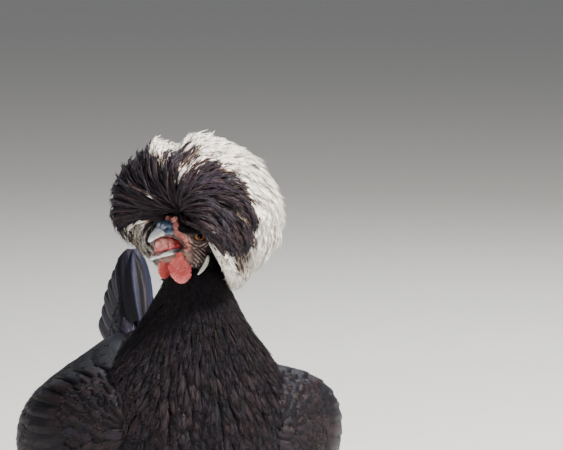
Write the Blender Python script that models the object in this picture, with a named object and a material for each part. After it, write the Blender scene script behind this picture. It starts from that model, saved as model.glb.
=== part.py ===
"""A white-crested black Polish hen, life size, standing still with her head turned and her bill open.

Sizes are written in millimetres and become metres when a mesh is made. The body frame has the hen facing
-Y with her left side at +X and the floor at Z = 0. The head has a frame of its own between the eyes, with
the same axes, which is turned on the neck. Touching nodes keep GAP between their faces.
"""

import math
import random

import bmesh
import bpy
import numpy as np
from mathutils import Euler, Vector

MM = 0.001
GAP = 0.3
THINNEST = 0.5
# A feather's width as a share of its widest: at its root, its growth along the length, where it starts to
# close, and at its tip. Its thickness falls by VANE_THINNING towards the tip.
VANE_ROOT = 0.42
VANE_OPENING = 1.7
VANE_CLOSES = 0.55
VANE_TIP = 0.22
VANE_THINNING = 0.45
VANE_STEPS = 3
SEED = 7

# Head frame: where it sits on the body, and how it is turned.
HEAD_AT = (-9.5, -96.0, 373.0)
HEAD_TURN = math.radians(-65.0)
HEAD_PITCH = math.radians(-6.0)
HEAD_ROLL = math.radians(3.0)

# Trunk rings from rump to head, fanned about the root of the neck: the back's y and z, the underside's or
# breast's y and z, half width and sideways shift.
TRUNK_RINGS = (
    (150.0, 228.0, 150.0, 222.0, 0.0, 0.0),
    (141.0, 247.0, 135.0, 192.0, 27.0, 0.0),
    (118.0, 252.0, 111.0, 158.0, 48.0, 0.0),
    (78.0, 255.0, 70.0, 122.0, 71.0, 0.0),
    (35.0, 257.0, 24.0, 101.0, 85.0, 0.0),
    (-4.0, 259.0, -27.0, 98.0, 90.0, 0.0),
    (-28.0, 264.0, -72.0, 108.0, 90.0, 0.0),
    (-40.0, 272.0, -107.0, 131.0, 86.0, 0.0),
    (-45.0, 281.0, -126.0, 162.0, 82.0, 0.0),
    (-46.0, 291.0, -132.0, 195.0, 74.0, 0.0),
    (-45.0, 302.0, -128.0, 228.0, 60.0, 0.5),
    (-46.0, 314.0, -121.0, 258.0, 47.0, 1.0),
    (-50.0, 328.0, -117.0, 287.0, 35.5, 1.5),
    (-61.0, 343.0, -113.0, 315.0, 26.0, 1.0),
    (-75.0, 357.0, -107.0, 343.0, 17.5, 0.0),
    (-82.0, 373.0, -103.0, 364.0, 11.0, -1.0),
)
NECK_BASE_AT = (0.0, -87.5, 233.0)
NECK_BASE_TILT = math.radians(51.0)
NECK_TOP_Z = 347.0

# Head rings in the head frame from nape to face: y, half width, top z, bottom z.
SKULL_RINGS = (
    (37.0, 0.0, 2.0, 2.0),
    (33.0, 10.5, 12.0, -10.0),
    (22.0, 16.0, 19.0, -19.0),
    (8.0, 17.2, 20.5, -23.0),
    (-4.0, 15.6, 17.5, -19.0),
    (-12.0, 12.4, 13.2, -13.0),
    (-19.0, 9.2, 9.6, -6.0),
    (-25.0, 5.6, 5.6, -1.0),
    (-27.5, 0.0, 2.2, 2.2),
)
KNOB_AT = (0.0, 13.0, 17.0)
KNOB_RADII = (15.5, 18.0, 14.5)
CHEEK_AT = (9.4, -4.0, -8.5)
CHEEK_RADII = (6.0, 9.5, 8.0)
JOWL_AT = (8.6, 4.0, -16.0)
JOWL_RADII = (8.6, 11.5, 10.5)
CHIN_AT = (0.0, -12.0, -17.2)
CHIN_RADII = (8.4, 13.0, 5.8)

# Eyes look outwards and a little ahead; each lid is a thin shell on the eye with an almond opening.
EYE_AT = (12.6, 1.8, 1.0)
EYE_RADIUS = 5.4
EYE_TURN = math.radians(20.0)
LID_THICK = 1.1
LID_OPENING_OUT = 6.4
LID_OPENING_DROP = 0.5
LID_OPENING_RADII = (3.4, 5.0, 3.9)
EAR_AT = (16.4, 15.0, -6.0)
EAR_RADIUS = 2.6
LOBE_AT = (18.6, 8.0, -23.0)
LOBE_RADII = (2.6, 3.9, 9.0)
LOBE_TURN = (-0.56, 0.10)

# The open mouth in the head frame as y, z pairs: from its corners up along the palate, then back along
# the floor. The lower jaw is drawn shut and turned down about the corners.
GAPE_AT = (0.0, -8.5, -9.0)
GAPE_ANGLE = math.radians(22.0)
MOUTH_OUTLINE = (
    (-8.5, -9.0),
    (-12.5, -5.0),
    (-18.5, -1.6),
    (-50.0, -1.2),
    (-50.0, -28.0),
    (-27.7, -15.8),
    (-18.8, -12.4),
    (-12.2, -11.4),
)
MOUTH_HALF_WIDTH = 30.0

# Upper and lower bill in the head frame, from root to tip: y, half width, top z, bottom z.
UPPER_BILL_RINGS = (
    (-9.0, 7.5, 6.5, -5.0),
    (-17.0, 8.0, 8.0, -2.6),
    (-24.0, 7.8, 7.6, -1.9),
    (-30.0, 6.7, 5.0, -2.4),
    (-35.0, 4.9, 0.6, -4.2),
    (-38.5, 2.7, -3.6, -7.0),
    (-40.2, 0.0, -6.6, -6.6),
)
LOWER_BILL_RINGS = (
    (-8.0, 7.6, -9.6, -15.0),
    (-14.0, 7.8, -8.6, -15.0),
    (-20.0, 7.2, -7.2, -14.0),
    (-28.0, 5.6, -6.8, -12.4),
    (-34.5, 3.6, -8.0, -11.6),
    (-38.4, 1.6, -9.4, -11.0),
    (-39.4, 0.0, -10.3, -10.3),
)
PALATE_AT = (0.0, -23.0, -3.4)
PALATE_RADII = (5.6, 12.5, 3.4)
TROUGH_AT = (0.0, -24.0, -7.2)
TROUGH_RADII = (4.9, 12.5, 3.4)
NOSTRIL_BULB_AT = (3.9, -24.4, 8.2)
NOSTRIL_BULB_RADII = (4.1, 5.6, 4.5)
NOSTRIL_AT = (7.3, -25.5, 7.0)
NOSTRIL_RADII = (1.7, 2.7, 1.1)
TONGUE_RINGS = (
    (-7.0, 5.6, -8.0, -13.0),
    (-14.0, 5.8, -4.6, -14.0),
    (-20.0, 5.6, -3.0, -14.6),
    (-26.0, 4.8, -3.0, -15.4),
    (-30.6, 3.2, -4.8, -15.4),
    (-32.6, 0.0, -10.0, -10.0),
)
TONGUE_CLEARANCE = 0.4
COMB_AT = (3.5, -18.0, 11.4)
COMB_RADII = (2.5, 3.4, 4.6)
COMB_LEAN = 0.25
COMB_SPLAY = math.radians(20.0)
COMB_BASE_AT = (0.0, -16.5, 9.0)
COMB_BASE_RADII = (4.6, 3.6, 3.0)

# Wattles: flat lobes under the lower bill, in the head frame; rows of depth and width as shares.
WATTLE_ROOT = (7.4, -12.6, -13.0)
WATTLE_LENGTH = 27.0
WATTLE_WIDTH = 20.0
WATTLE_THICK = 3.4
WATTLE_ROWS = (
    (0.0, 0.24),
    (0.14, 0.36),
    (0.32, 0.80),
    (0.52, 1.0),
    (0.72, 0.94),
    (0.88, 0.66),
    (0.97, 0.32),
    (1.0, 0.0),
)
WATTLE_FLARE = math.radians(8.0)
WATTLE_TURN = math.radians(14.0)
WATTLE_BACK = 0.1

# Crest: an oval envelope round its own centre in the head frame, filled by a core half as large. Feathers
# part at the pole on the brow.
CREST_AT = (0.0, 11.0, 24.0)
CREST_RADII = (74.0, 74.0, 62.0)
CREST_LOW_RADIUS = 76.0
CREST_CORE_AT = (0.0, 14.0, 29.0)
CREST_CORE_RADII = (33.0, 33.5, 27.0)
NAPE_CORE_AT = (0.0, 31.0, 6.0)
NAPE_CORE_RADII = (35.0, 20.0, 23.0)
CREST_POLE = Vector((0.0, -0.96, -0.20)).normalized()
CREST_COUNT = 98
# Rings of feathers round the parting on the brow: angle from it and count.
CREST_BROW_RINGS = ((0.24, 10), (0.46, 17))
CREST_FIRST_ANGLE = 0.62
CREST_FEATHER = (58.0, 24.0, 1.1)
# Shares of its length at which a feather is tried until it stays clear of the face, and the spread of
# lengths and of how far tips stand off the envelope.
CREST_SHARES = (1.0, 0.78, 0.58)
CREST_LENGTH_SPREAD = (0.86, 1.14)
CREST_LIFT_SPREAD = (-0.05, 0.03)
# A feather turns along the envelope at this rate at its root, and faster by CREST_TIP_TURN at its tip.
CREST_ROOT_TURN = 0.55
CREST_TIP_TURN = 0.75
CREST_BROW_REACH = 0.9
CREST_ROOT_RISE = 0.41
CREST_ROOT_FLOOR = -0.5
CREST_LOWEST = -48.0
CREST_DROOP = 16.0
CREST_TILT = 3.0
# Crest feathers fall more with their angle from the parting, and more at the sides.
CREST_FALL = 0.48
CREST_FALL_START = 0.35
CREST_SIDE_FALL = 0.45
CREST_MOST_FALL = 0.78
# A crest feather rises from its root with this haste, and sooner by CREST_BROW_HASTE next to the parting.
CREST_HASTE = 1.7
CREST_BROW_HASTE = 2.6
# The crest opens round the face: below a brow line that falls to the sides and rises ahead of the bill,
# and ahead of a plane that slants back and outwards. Both lie lower on her right.
BROW_Z = 16.0
BROW_FALL = 0.25
BROW_AHEAD_Y = -22.0
BROW_RISE = 0.6
FACE_EDGE_Z = 21.0
FACE_EDGE_BACK = 1.3
FACE_EDGE_OUT = 0.91
FACE_LEAN = 0.12

# Wing panel from wrist to tail: y, then top edge, bulge and lower edge as x, z pairs.
WING_RINGS = (
    (-110.0, 50.0, 224.0, 72.0, 219.0, 60.0, 190.0),
    (-92.0, 48.0, 242.0, 124.0, 242.0, 90.0, 160.0),
    (-60.0, 50.0, 248.0, 165.0, 252.0, 112.0, 138.0),
    (-20.0, 50.0, 247.0, 174.0, 241.0, 124.0, 131.0),
    (30.0, 45.0, 248.0, 158.0, 229.0, 120.0, 133.0),
    (75.0, 36.0, 248.0, 116.0, 234.0, 94.0, 152.0),
    (115.0, 27.0, 247.0, 80.0, 234.0, 70.0, 178.0),
    (150.0, 18.0, 246.0, 54.0, 238.0, 50.0, 202.0),
)
WING_LEFT_DROP = 6.0
WING_ARM_SPAN = 0.70
WING_ARM_RINGS = 7
WING_ARM_ROWS = 5
WING_ARM_EDGES = (0.02, 0.96)
WING_AXIS = (34.0, 205.0)
# Thickness of the arm at its front and rear ends, by its top and its lower edge.
WING_ARM_FRONT = (34.0, 34.0)
WING_ARM_REAR = (22.0, 6.0)
WING_ARM_MOST = 0.7

# Wing feathers, lowest first: how many, root and tip as (along, down) pairs for the lowest and the highest
# feather, width, thickness and how far the tier stands off the arm.
SECONDARIES = (6, (0.42, 0.92), (0.52, 0.14), (0.86, 0.90), (0.93, 0.08), 34.0, 0.9, 1.2)
PRIMARIES = (4, (0.42, 0.94), (0.46, 0.70), (1.02, 0.80), (0.99, 0.50), 20.0, 0.9, -2.6)
GREATER_COVERTS = (5, (0.26, 0.92), (0.38, 0.12), (0.58, 0.92), (0.68, 0.08), 36.0, 0.9, 3.6)
MEDIAN_COVERTS = (4, (0.12, 0.88), (0.22, 0.08), (0.38, 0.90), (0.48, 0.06), 43.0, 0.9, 5.6)
SHINGLE_LIFT = 1.9
# Roots lie this deep in the arm, and the length of a feather varies by this share of the wing.
ROOT_SINK = 3.0
LOW_ROOT_SINK = 1.5
LENGTH_SPREAD = 0.012

# Tail: feathers fan upright on each side of the rump's end.
TAIL_ROOT_AT = (-1.0, 130.0, 226.0)
TAIL_ROOT_RADII = (20.0, 27.0, 20.0)
TAIL_ROOT_TILT = 0.5
TAIL_PER_SIDE = 5
TAIL_TOP_LENGTH = 100.0
TAIL_LOW_LENGTH = 104.0
TAIL_WIDTH = 33.0
TAIL_THICK = 1.1
TAIL_TILT = 2.0
TAIL_DROOP = 0.20
TAIL_TOP_ANGLE = 76.0
TAIL_LOW_ANGLE = 24.0
TAIL_TOP_SPREAD = 1.0
TAIL_LOW_SPREAD = 6.0
TAIL_COVERTS = 3
TAIL_COVERT_LENGTH = 64.0
TAIL_COVERT_WIDTH = 29.0
TAIL_COVERT_INSET = 6.5
TAIL_COVERT_FALL = 0.15
TAIL_FACING_UP = 0.38
TAIL_SKEW = 1.5
# The tail feathers' roots run from the top of the rump's end to its side.
TAIL_ROOT_TOP = (2.0, 3.0, 7.0)
TAIL_ROOT_LOW = (11.0, 3.0, -6.0)

# Legs: hip, knee, calf, hock and foot on the left side.
HIP_AT = (42.0, -6.0, 142.0)
KNEE_AT = (45.0, -6.0, 122.0)
CALF_AT = (45.5, 6.0, 101.0)
HOCK_AT = (45.0, 21.0, 84.0)
ANKLE_AT = (47.0, 7.0, 9.0)
THIGH_RADII = (38.0, 35.0, 22.0, 9.5)
SHANK_RADII = (7.4, 5.0, 4.8, 6.2)
FOOT_PAD_AT = (47.0, 4.0, 5.2)
FOOT_PAD_RADII = (8.0, 9.0, 6.4)
TOE_THICK = 4.6
TOE_TIP_THICK = 3.3
# Each toe's middle lies this share of its half thickness above the floor, so that its pads rest on flats.
TOE_SINK = 0.92
# A toe is this thick between its pads, as a share of its thickness at them, and long toes have four pads.
TOE_WAIST = 0.84
LONG_TOE = 50.0
# Toes: length, and the angle from straight ahead towards the outside.
TOES = (("inner", 42.0, -32.0), ("middle", 57.0, 2.0), ("outer", 45.0, 36.0), ("hind", 19.0, 168.0))
CLAW_LENGTH = 10.5
CLAW_THICK = 2.2
CLAW_ROOT_Z = 3.6
CLAW_ARCH = 0.9
CLAW_FALL = 2.4
CLAW_ROOT_INSET = 1.5
CLAW_TAPER = 0.82

BLACK_FEATHER = ((0.012, 0.010, 0.013), 0.45)
WHITE_FEATHER = ((0.86, 0.83, 0.78), 0.6)
RED_SKIN = ((0.62, 0.05, 0.05), 0.5)
PINK_SKIN = ((0.62, 0.22, 0.20), 0.45)
FACE_SKIN = ((0.16, 0.07, 0.06), 0.6)
PALE_LOBE = ((0.72, 0.76, 0.70), 0.55)
BILL_HORN = ((0.55, 0.60, 0.66), 0.3)
IRIS_BAY = ((0.42, 0.12, 0.01), 0.05)
SLATE_SCALE = ((0.16, 0.18, 0.21), 0.5)
CLAW_HORN = ((0.30, 0.27, 0.25), 0.35)


def clear_scene():
    for obj in list(bpy.data.objects):
        bpy.data.objects.remove(obj)


def make_material(name, look):
    colour, roughness = look
    material = bpy.data.materials.new(name)
    material.use_nodes = True
    shader = material.node_tree.nodes["Principled BSDF"]
    shader.inputs["Base Color"].default_value = (*colour, 1.0)
    shader.inputs["Roughness"].default_value = roughness
    shader.inputs["Metallic"].default_value = 0.0
    return material


def make_empty(name, location=(0.0, 0.0, 0.0), rotation=(0.0, 0.0, 0.0), parent=None):
    empty = bpy.data.objects.new(name, None)
    bpy.context.scene.collection.objects.link(empty)
    empty.location = Vector(location) * MM
    empty.rotation_euler = rotation
    empty.parent = parent
    return empty


def mirrored(point, sign):
    return (sign * point[0], point[1], point[2])


# --- Closed meshes from rings -------------------------------------------------------------------------


def make_object(name, points, faces, parent):
    """A closed mesh object with its faces turned outwards; points in millimetres."""
    points = np.asarray(points, float)
    triangles = [(f[0], f[i], f[i + 1]) for f in faces for i in range(1, len(f) - 1)]
    corners = points[np.array(triangles)]
    volume = np.einsum("ij,ij->i", corners[:, 0], np.cross(corners[:, 1], corners[:, 2])).sum()
    if volume < 0:
        faces = [tuple(reversed(f)) for f in faces]
    mesh = bpy.data.meshes.new(name)
    mesh.from_pydata([tuple(p) for p in points * MM], [], faces)
    mesh.update()
    obj = bpy.data.objects.new(name, mesh)
    bpy.context.scene.collection.objects.link(obj)
    obj.parent = parent
    return obj


def loft(name, rings, parent, vane=False):
    """Joins rings of equal count. A ring of one point is a pole; other end rings are capped flat."""
    points = []
    starts = []
    for ring in rings:
        starts.append(len(points))
        points.extend(ring)
    count = max(len(ring) for ring in rings)
    faces = []
    for (first, second), (at, after) in zip(zip(rings, rings[1:]), zip(starts, starts[1:])):
        for j in range(count):
            a, b = at + j, at + (j + 1) % count
            c, d = after + (j + 1) % count, after + j
            if len(first) == 1:
                faces.append((at, c, d))
            elif len(second) == 1:
                faces.append((a, b, after))
            elif vane and j >= count // 2:
                faces.extend([(a, b, d), (b, c, d)])
            else:
                faces.extend([(a, b, c), (a, c, d)])
    if len(rings[0]) > 1:
        faces.append(tuple(reversed(range(starts[0], starts[0] + count))))
    if len(rings[-1]) > 1:
        faces.append(tuple(range(starts[-1], starts[-1] + count)))
    return make_object(name, points, faces, parent)


def spline_rows(rows, per_span):
    """Rows of a table, with more rows between them on a smooth curve through all of them."""
    table = np.array(rows, float)
    padded = np.vstack([2 * table[0] - table[1], table, 2 * table[-1] - table[-2]])
    found = []
    for i in range(1, len(table)):
        before, start, end, after = padded[i - 1 : i + 3]
        for step in range(per_span):
            t = step / per_span
            bend = 2 * before - 5 * start + 4 * end - after
            sharp = 3 * (start - end) + after - before
            found.append(start + 0.5 * t * (end - before + t * (bend + t * sharp)))
    found.append(table[-1])
    return np.array(found)


def oval_ring(half_width, top, bottom, segments):
    """(sideways, up) points of an oval whose upper and lower halves may differ in height."""
    middle = (top + bottom) / 2
    angles = np.arange(segments) * 2 * math.pi / segments
    return [(half_width * math.cos(a), middle + (top - bottom) / 2 * math.sin(a)) for a in angles]


def lengthwise_body(name, rows, parent, segments=20, per_span=2):
    """A body of upright ovals along Y, from rows of y, half width, top z and bottom z."""
    rings = []
    for y, half_width, top, bottom in spline_rows(rows, per_span):
        if half_width < 0.01:
            rings.append([(0.0, y, top)])
        else:
            rings.append([(x, y, z) for x, z in oval_ring(half_width, top, bottom, segments)])
    return loft(name, rings, parent)


def trunk_core(parent, segments=18, per_span=2):
    """Torso and neck as one body of ovals, each in its own plane through a back and a front point."""
    rings = []
    for back_y, back_z, front_y, front_z, half_width, x in spline_rows(TRUNK_RINGS, per_span):
        middle = Vector((x, (back_y + front_y) / 2, (back_z + front_z) / 2))
        half = Vector((0.0, (back_y - front_y) / 2, (back_z - front_z) / 2))
        if half_width < 0.01:
            rings.append([middle])
        else:
            across = Vector((half_width, 0.0, 0.0))
            angles = np.arange(segments) * 2 * math.pi / segments
            rings.append([middle + across * math.cos(a) + half * math.sin(a) for a in angles])
    return loft("trunk_core", rings, parent)


def egg(name, centre, radii, parent, segments=14, levels=8, turn=(0.0, 0.0, 0.0)):
    """An ellipsoid with its poles up and down before it is turned about its centre."""
    rotation = Euler(turn).to_matrix()
    rings = []
    for level in range(levels + 1):
        polar = math.pi * level / levels
        if level in (0, levels):
            local = [(0.0, 0.0, radii[2] * math.cos(polar))]
        else:
            angles = np.arange(segments) * 2 * math.pi / segments
            local = [
                (
                    radii[0] * math.sin(polar) * math.cos(a),
                    radii[1] * math.sin(polar) * math.sin(a),
                    radii[2] * math.cos(polar),
                )
                for a in angles
            ]
        rings.append([Vector(centre) + rotation @ Vector(p) for p in local])
    return loft(name, rings, parent)


def limb(name, centres, radii, parent, segments=12, per_span=3):
    """A round limb along a smooth path, with a radius at each centre and rounded ends."""
    rows = spline_rows([(*c, r) for c, r in zip(centres, radii)], per_span)
    paths = [Vector(row[:3]) for row in rows]
    rings = []
    for i, row in enumerate(rows):
        ahead = (paths[min(i + 1, len(rows) - 1)] - paths[max(i - 1, 0)]).normalized()
        side = ahead.cross(Vector((0.3, 1.0, 0.2))).normalized()
        up = side.cross(ahead)
        angles = [2 * math.pi * k / segments for k in range(segments)]
        rings.append([paths[i] + (side * math.cos(a) + up * math.sin(a)) * row[3] for a in angles])
    first = (paths[1] - paths[0]).normalized()
    last = (paths[-1] - paths[-2]).normalized()
    rings.insert(0, [paths[0] - first * rows[0][3] * 0.6])
    rings.append([paths[-1] + last * rows[-1][3] * 0.6])
    return loft(name, rings, parent)


def block(name, corner_low, corner_high, parent):
    (x0, y0, z0), (x1, y1, z1) = corner_low, corner_high
    low = [(x0, y0, z0), (x1, y0, z0), (x1, y1, z0), (x0, y1, z0)]
    high = [(x, y, z1) for x, y, _ in low]
    return loft(name, [low, high], parent)


# --- Feathers -----------------------------------------------------------------------------------------


def vane_width(share):
    """A feather's width along it as a share of the widest: narrow root, full middle, round tip."""
    opening = min(1.0, VANE_ROOT + VANE_OPENING * share)
    closed = max(0.0, (share - VANE_CLOSES) / (1.0 - VANE_CLOSES))
    closing = math.sqrt(max(0.0, 1.0 - closed * closed))
    return opening * max(closing, VANE_TIP)


def vane_edges(path, normals, width, tilt):
    """The two edges of a feather at each point of its path, with the outward direction there. tilt lifts
    one edge."""
    last = len(path) - 1
    found = []
    for i, (point, normal) in enumerate(zip(path, normals)):
        ahead = (path[min(i + 1, last)] - path[max(i - 1, 0)]).normalized()
        side = normal.cross(ahead).normalized()
        out = ahead.cross(side).normalized()
        half = (side * width + out * tilt) * vane_width(i / last) / 2
        found.append((point - half, point + half, out))
    return found


def vane(name, path, normals, width, thick, parent, tilt=0.0):
    """A feather as a thin closed blade along a path, thinner towards its tip."""
    rings = []
    for i, (left, right, out) in enumerate(vane_edges(path, normals, width, tilt)):
        share = i / (len(path) - 1)
        skin = out * max(THINNEST, thick * (1.0 - VANE_THINNING * share)) / 2
        rings.append([left + skin, right + skin, right - skin, left - skin])
    return loft(name, rings, parent, vane=True)


# --- Booleans -----------------------------------------------------------------------------------------


def apply_modifiers(obj):
    bpy.context.view_layer.update()
    graph = bpy.context.evaluated_depsgraph_get()
    made = bpy.data.meshes.new_from_object(obj.evaluated_get(graph))
    obj.modifiers.clear()
    old = obj.data
    obj.data = made
    bpy.data.meshes.remove(old)


def boolean(obj, others, operation, solver="MANIFOLD"):
    """One Boolean on a collection of closed objects, which are then removed."""
    group = bpy.data.collections.new(obj.name + "_operands")
    for other in others:
        group.objects.link(other)
    modifier = obj.modifiers.new(operation.lower(), "BOOLEAN")
    modifier.operand_type = "COLLECTION"
    modifier.collection = group
    modifier.operation = operation
    modifier.solver = solver
    apply_modifiers(obj)
    for other in others:
        bpy.data.objects.remove(other)
    bpy.data.collections.remove(group)
    return obj


def fuse(name, pieces):
    first, *rest = pieces
    if rest:
        boolean(first, rest, "UNION")
    first.name = name
    return first


def cut(obj, cutters):
    return boolean(obj, cutters, "DIFFERENCE")


def copy_of(obj, grow=0.0):
    """A copy, swollen by grow along its normals, for use as a cutter."""
    copy = obj.copy()
    copy.data = obj.data.copy()
    bpy.context.scene.collection.objects.link(copy)
    if grow:
        shape = bmesh.new()
        shape.from_mesh(copy.data)
        shape.normal_update()
        moved = [v.co + v.normal * grow * MM for v in shape.verts]
        for vert, place in zip(shape.verts, moved):
            vert.co = place
        shape.to_mesh(copy.data)
        shape.free()
    return copy


def swollen(pieces, grow=GAP):
    return [copy_of(piece, grow) for piece in pieces]


def discard(pieces):
    for piece in pieces:
        bpy.data.objects.remove(piece)


def keep_largest(obj):
    """Leaves only the closed surface that holds most, so that scraps and sealed hollows go."""
    shape = bmesh.new()
    shape.from_mesh(obj.data)
    bmesh.ops.triangulate(shape, faces=shape.faces)
    unseen = set(shape.verts)
    islands = []
    while unseen:
        stack = [unseen.pop()]
        island = set(stack)
        while stack:
            for edge in stack.pop().link_edges:
                for vert in edge.verts:
                    if vert not in island:
                        island.add(vert)
                        stack.append(vert)
        unseen -= island
        faces = {face for vert in island for face in vert.link_faces}
        volume = sum(f.verts[0].co.dot(f.verts[1].co.cross(f.verts[2].co)) for f in faces)
        islands.append((volume, island))
    islands.sort(key=lambda pair: pair[0])
    loose = [vert for _, island in islands[:-1] for vert in island]
    bmesh.ops.delete(shape, geom=loose, context="VERTS")
    shape.to_mesh(obj.data)
    shape.free()
    return obj


def finish(obj, look, smooth_angle=35.0):
    keep_largest(obj)
    obj.data.materials.clear()
    obj.data.materials.append(look)
    obj.data.shade_smooth()
    obj.data.set_sharp_from_angle(angle=math.radians(smooth_angle))
    return obj


def half_space(name, point, tilt, parent, above):
    """A large block above or below a plane through point, tilted about X."""
    reach = 600.0
    low, high = (0.0, reach) if above else (-reach, 0.0)
    corners = [(-reach, -reach, low), (reach, reach, high)]
    side = block(name, *corners, parent)
    side.location = Vector(point) * MM
    side.rotation_euler = (tilt, 0.0, 0.0)
    return side


# --- Torso, neck and head -----------------------------------------------------------------------------


def head_cores(parent):
    """The rounded forms of the head, before the mouth and the eye sockets are cut."""
    pieces = [
        lengthwise_body("skull", SKULL_RINGS, parent, segments=14, per_span=1),
        egg("knob", KNOB_AT, KNOB_RADII, parent, 10, 5),
        egg("chin", CHIN_AT, CHIN_RADII, parent, 8, 5, (GAPE_ANGLE, 0.0, 0.0)),
    ]
    for sign in (1, -1):
        pieces.append(egg("cheek", mirrored(CHEEK_AT, sign), CHEEK_RADII, parent, 8, 6))
        pieces.append(egg("jowl", mirrored(JOWL_AT, sign), JOWL_RADII, parent, 8, 6))
    return pieces


def lid_shell(sign, parent):
    """The eyelids as a ball a little larger than the eye, before the eye and the opening are cut."""
    return egg("lid", mirrored(EYE_AT, sign), [EYE_RADIUS + GAP + LID_THICK] * 3, parent, 10, 7)


def lid_opening(sign, parent):
    """The almond opening between the lids, on the eye's own axis."""
    x, y, z = mirrored(EYE_AT, sign)
    x += sign * math.cos(EYE_TURN) * LID_OPENING_OUT
    y -= math.sin(EYE_TURN) * LID_OPENING_OUT
    turn = (0.0, 0.0, -sign * EYE_TURN)
    return egg("opening", (x, y, z - LID_OPENING_DROP), LID_OPENING_RADII, parent, 10, 6, turn)


def jaw_hinge(point, angle):
    """A head-frame point turned down about the corners of the mouth."""
    hinge = Vector(GAPE_AT)
    return hinge + Euler((angle, 0.0, 0.0)).to_matrix() @ (Vector(point) - hinge)


def mouth_space(parent):
    """The open mouth between the jaws, cut across the front of the head."""
    sides = [[(x, y, z) for y, z in MOUTH_OUTLINE] for x in (-MOUTH_HALF_WIDTH, MOUTH_HALF_WIDTH)]
    return loft("mouth", sides, parent)


def make_head(head_frame, body_frame):
    pieces = head_cores(head_frame)
    pieces += [lid_shell(sign, head_frame) for sign in (1, -1)]
    pieces.append(trunk_core(body_frame))
    head = fuse("head", pieces)
    cutters = [
        half_space("below", (0, 0, NECK_TOP_Z + GAP / 2), 0.0, body_frame, above=False),
        mouth_space(head_frame),
    ]
    for sign in (1, -1):
        cutters.append(egg("socket", mirrored(EYE_AT, sign), [EYE_RADIUS + GAP] * 3, head_frame, 12, 8))
        cutters.append(lid_opening(sign, head_frame))
        cutters.append(egg("ear", mirrored(EAR_AT, sign), [EAR_RADIUS] * 3, head_frame, 8, 5))
    return cut(head, cutters)


def make_eye(sign, parent):
    return egg("eye", mirrored(EYE_AT, sign), [EYE_RADIUS] * 3, parent, 12, 8)


def upper_bill_cores(parent):
    pieces = [lengthwise_body("upper_bill", UPPER_BILL_RINGS, parent, segments=12, per_span=1)]
    for sign in (1, -1):
        pieces.append(egg("bulb", mirrored(NOSTRIL_BULB_AT, sign), NOSTRIL_BULB_RADII, parent, 8, 6))
    return pieces


def turned_down(obj, angle):
    """Turns a lower-jaw piece down about the corners of the mouth, in its mesh."""
    for vert in obj.data.vertices:
        vert.co = jaw_hinge(vert.co / MM, angle) * MM
    obj.data.update()
    return obj


def lower_bill_core(parent, grow=0.0):
    """The lower bill, turned down; grow makes it larger all round, as a cutter."""
    rows = [(y, w + grow, top + grow, low - grow) for y, w, top, low in LOWER_BILL_RINGS]
    bill = lengthwise_body("lower_bill", rows, parent, segments=12, per_span=1)
    return turned_down(bill, GAPE_ANGLE)


def trough(parent):
    """The hollow of the lower bill between its two rims."""
    return turned_down(egg("trough", TROUGH_AT, TROUGH_RADII, parent, 10, 6), GAPE_ANGLE)


def tongue_core(parent):
    return lengthwise_body("tongue", TONGUE_RINGS, parent, segments=10, per_span=1)


def comb_cores(parent):
    """The comb's two small horns, leaning outwards in a V, and the flesh that joins them."""
    pieces = [egg("comb_base", COMB_BASE_AT, COMB_BASE_RADII, parent, 8, 5)]
    for sign in (1, -1):
        turn = (COMB_LEAN, sign * COMB_SPLAY, 0.0)
        pieces.append(egg("comb_horn", mirrored(COMB_AT, sign), COMB_RADII, parent, 8, 6, turn))
    return pieces


def wattle(sign, parent):
    """A flat hanging lobe, narrow at its root and round below, turned a little to the front."""
    rings = []
    segments = 12
    x, y, z = WATTLE_ROOT
    for share, swell in spline_rows(WATTLE_ROWS, 1):
        down = share * WATTLE_LENGTH
        out = math.tan(WATTLE_FLARE) * down
        if swell < 0.01:
            rings.append([(sign * (x + out), y + WATTLE_BACK * down, z - down)])
            continue
        ring = []
        for k in range(segments):
            around = 2 * math.pi * k / segments
            along = WATTLE_WIDTH / 2 * swell * math.sin(around)
            across = WATTLE_THICK / 2 * (0.5 + 0.5 * swell) * math.cos(around)
            sideways = x + out + across + math.tan(WATTLE_TURN) * along
            ring.append((sign * sideways, y + along + WATTLE_BACK * down, z - down))
        rings.append(ring)
    return loft("wattle", rings, parent)


def lobe_core(sign, parent):
    back, outward = LOBE_TURN
    return egg("lobe", mirrored(LOBE_AT, sign), LOBE_RADII, parent, 10, 7, (back, sign * -outward, 0.0))


# --- Crest --------------------------------------------------------------------------------------------


def crest_reach(direction):
    """Distance from the crest's centre to its outer envelope in a direction."""
    width, depth, height = CREST_RADII
    if direction.z < 0.0:
        height = CREST_LOW_RADIUS
    shares = (direction.x / width, direction.y / depth, direction.z / height)
    return 1.0 / math.sqrt(sum(share * share for share in shares))


def crest_flow(direction):
    """Which way feathers lie at a place on the crest: away from the brow, falling more towards the back."""
    away = -(CREST_POLE - direction * CREST_POLE.dot(direction))
    down = Vector((0.0, 0.0, -1.0))
    down -= direction * down.dot(direction)
    beside = abs(direction.x) * (1.0 - max(0.0, direction.z))
    fall = CREST_FALL * direction.angle(CREST_POLE) - CREST_FALL_START + CREST_SIDE_FALL * beside
    fall = min(CREST_MOST_FALL, max(0.0, fall))
    return (away.normalized() * (1.0 - fall) + down * fall).normalized()


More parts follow.
